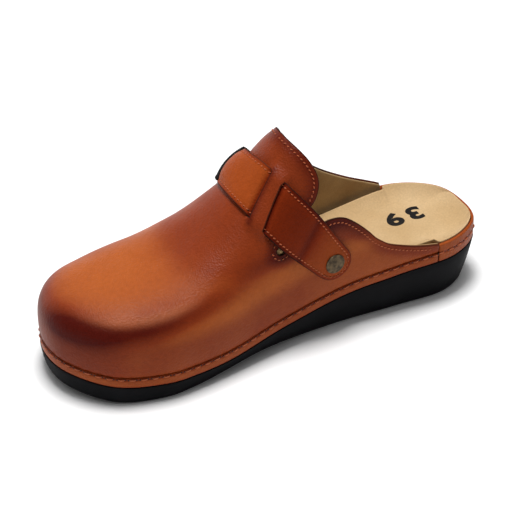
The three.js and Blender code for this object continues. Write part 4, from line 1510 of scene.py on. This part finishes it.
def rand_stitches(name, start, stop, height, nodes):
    """Long stitches of thick yarn, lying in the rand's groove."""
    turns = np.linspace(start + 0.003, stop - 0.003, 400)
    point, inwards = edge_points(turns)
    points = np.column_stack([point + inwards * 0.22, feather(point[:, 0]) + height])
    normals = np.column_stack([-inwards, np.zeros(len(point))])
    stitches(name, points, normals, nodes, slope=0.05, **RAND_STITCH)


# Each length of the rand: where it starts and stops, its height, steps and line of stitches.
STITCH_LINE = 5.6
HEEL_STITCH_LINE = 6.2
RAND_PARTS = {
    "outer": (OUTER_TURN, TOE_SEAM, RAND_HEIGHT, 420, STITCH_LINE),
    "inner": (TOE_SEAM, INNER_TURN, RAND_HEIGHT, 340, STITCH_LINE),
    "heel": (INNER_TURN - 1, OUTER_TURN, HEEL_RAND_HEIGHT - 0.4, 180, HEEL_STITCH_LINE),
}
for part, (start, stop, height, steps, line) in RAND_PARTS.items():
    rand_strip(f"rand_strip_{part}", start, stop, height, [f"rand_{part}"], int(steps * fine), line)
for part, (start, stop, _, _, line) in RAND_PARTS.items():
    rand_stitches(f"rand_stitches_{part}", start, stop, line, [f"rand_yarn_{part}"])

# ---- Hidden CAD pieces that stay ----

for node, material in (("insole_board", BOARD), ("footbed_core", CORK), ("rivet_burr", BRASS)):
    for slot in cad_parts[node].material_slots:
        slot.material = material

# ---- Floor and light ----

def area_light(name, place, target, size, power):
    light = bpy.data.lights.new(name, "AREA")
    light.shape = "RECTANGLE"
    light.size, light.size_y = size
    light.energy = power
    lamp = add_object(name, light)
    lamp.location = place
    lamp.rotation_mode = "QUATERNION"
    lamp.rotation_quaternion = (Vector(target) - Vector(place)).to_track_quat("-Z", "Y")


FLOOR = 3.0
floor_mesh = bpy.data.meshes.new("floor")
corners = [(-FLOOR, -FLOOR, 0), (FLOOR, -FLOOR, 0), (FLOOR, FLOOR, 0), (-FLOOR, FLOOR, 0)]
floor_mesh.from_pydata(corners, [], [(0, 1, 2, 3)])
floor = add_object("floor", floor_mesh)
floor_look = Look("floor_white", 0.9, 0.0)
floor_look.put("Base Color", (0.98, 0.98, 0.98))
floor_mesh.materials.append(floor_look.material)

world = bpy.data.worlds.new("studio")
bpy.context.scene.world = world
world.use_nodes = True
background = world.node_tree.nodes["Background"]
background.inputs["Color"].default_value = (1, 1, 1, 1)
background.inputs["Strength"].default_value = 0.15
bpy.context.scene.view_settings.view_transform = "Standard"

area_light("key_box", (0.02, -0.12, 1.9), (0, 0, 0), (0.6, 0.6), 32.0)
area_light("fill_box", (-0.1, -0.1, 2.1), (0, 0, 0), (1.8, 1.8), 14.0)
area_light("back_box", (0.35, -1.3, 0.3), (0, 0, 0.05), (1.6, 0.55), 5.0)
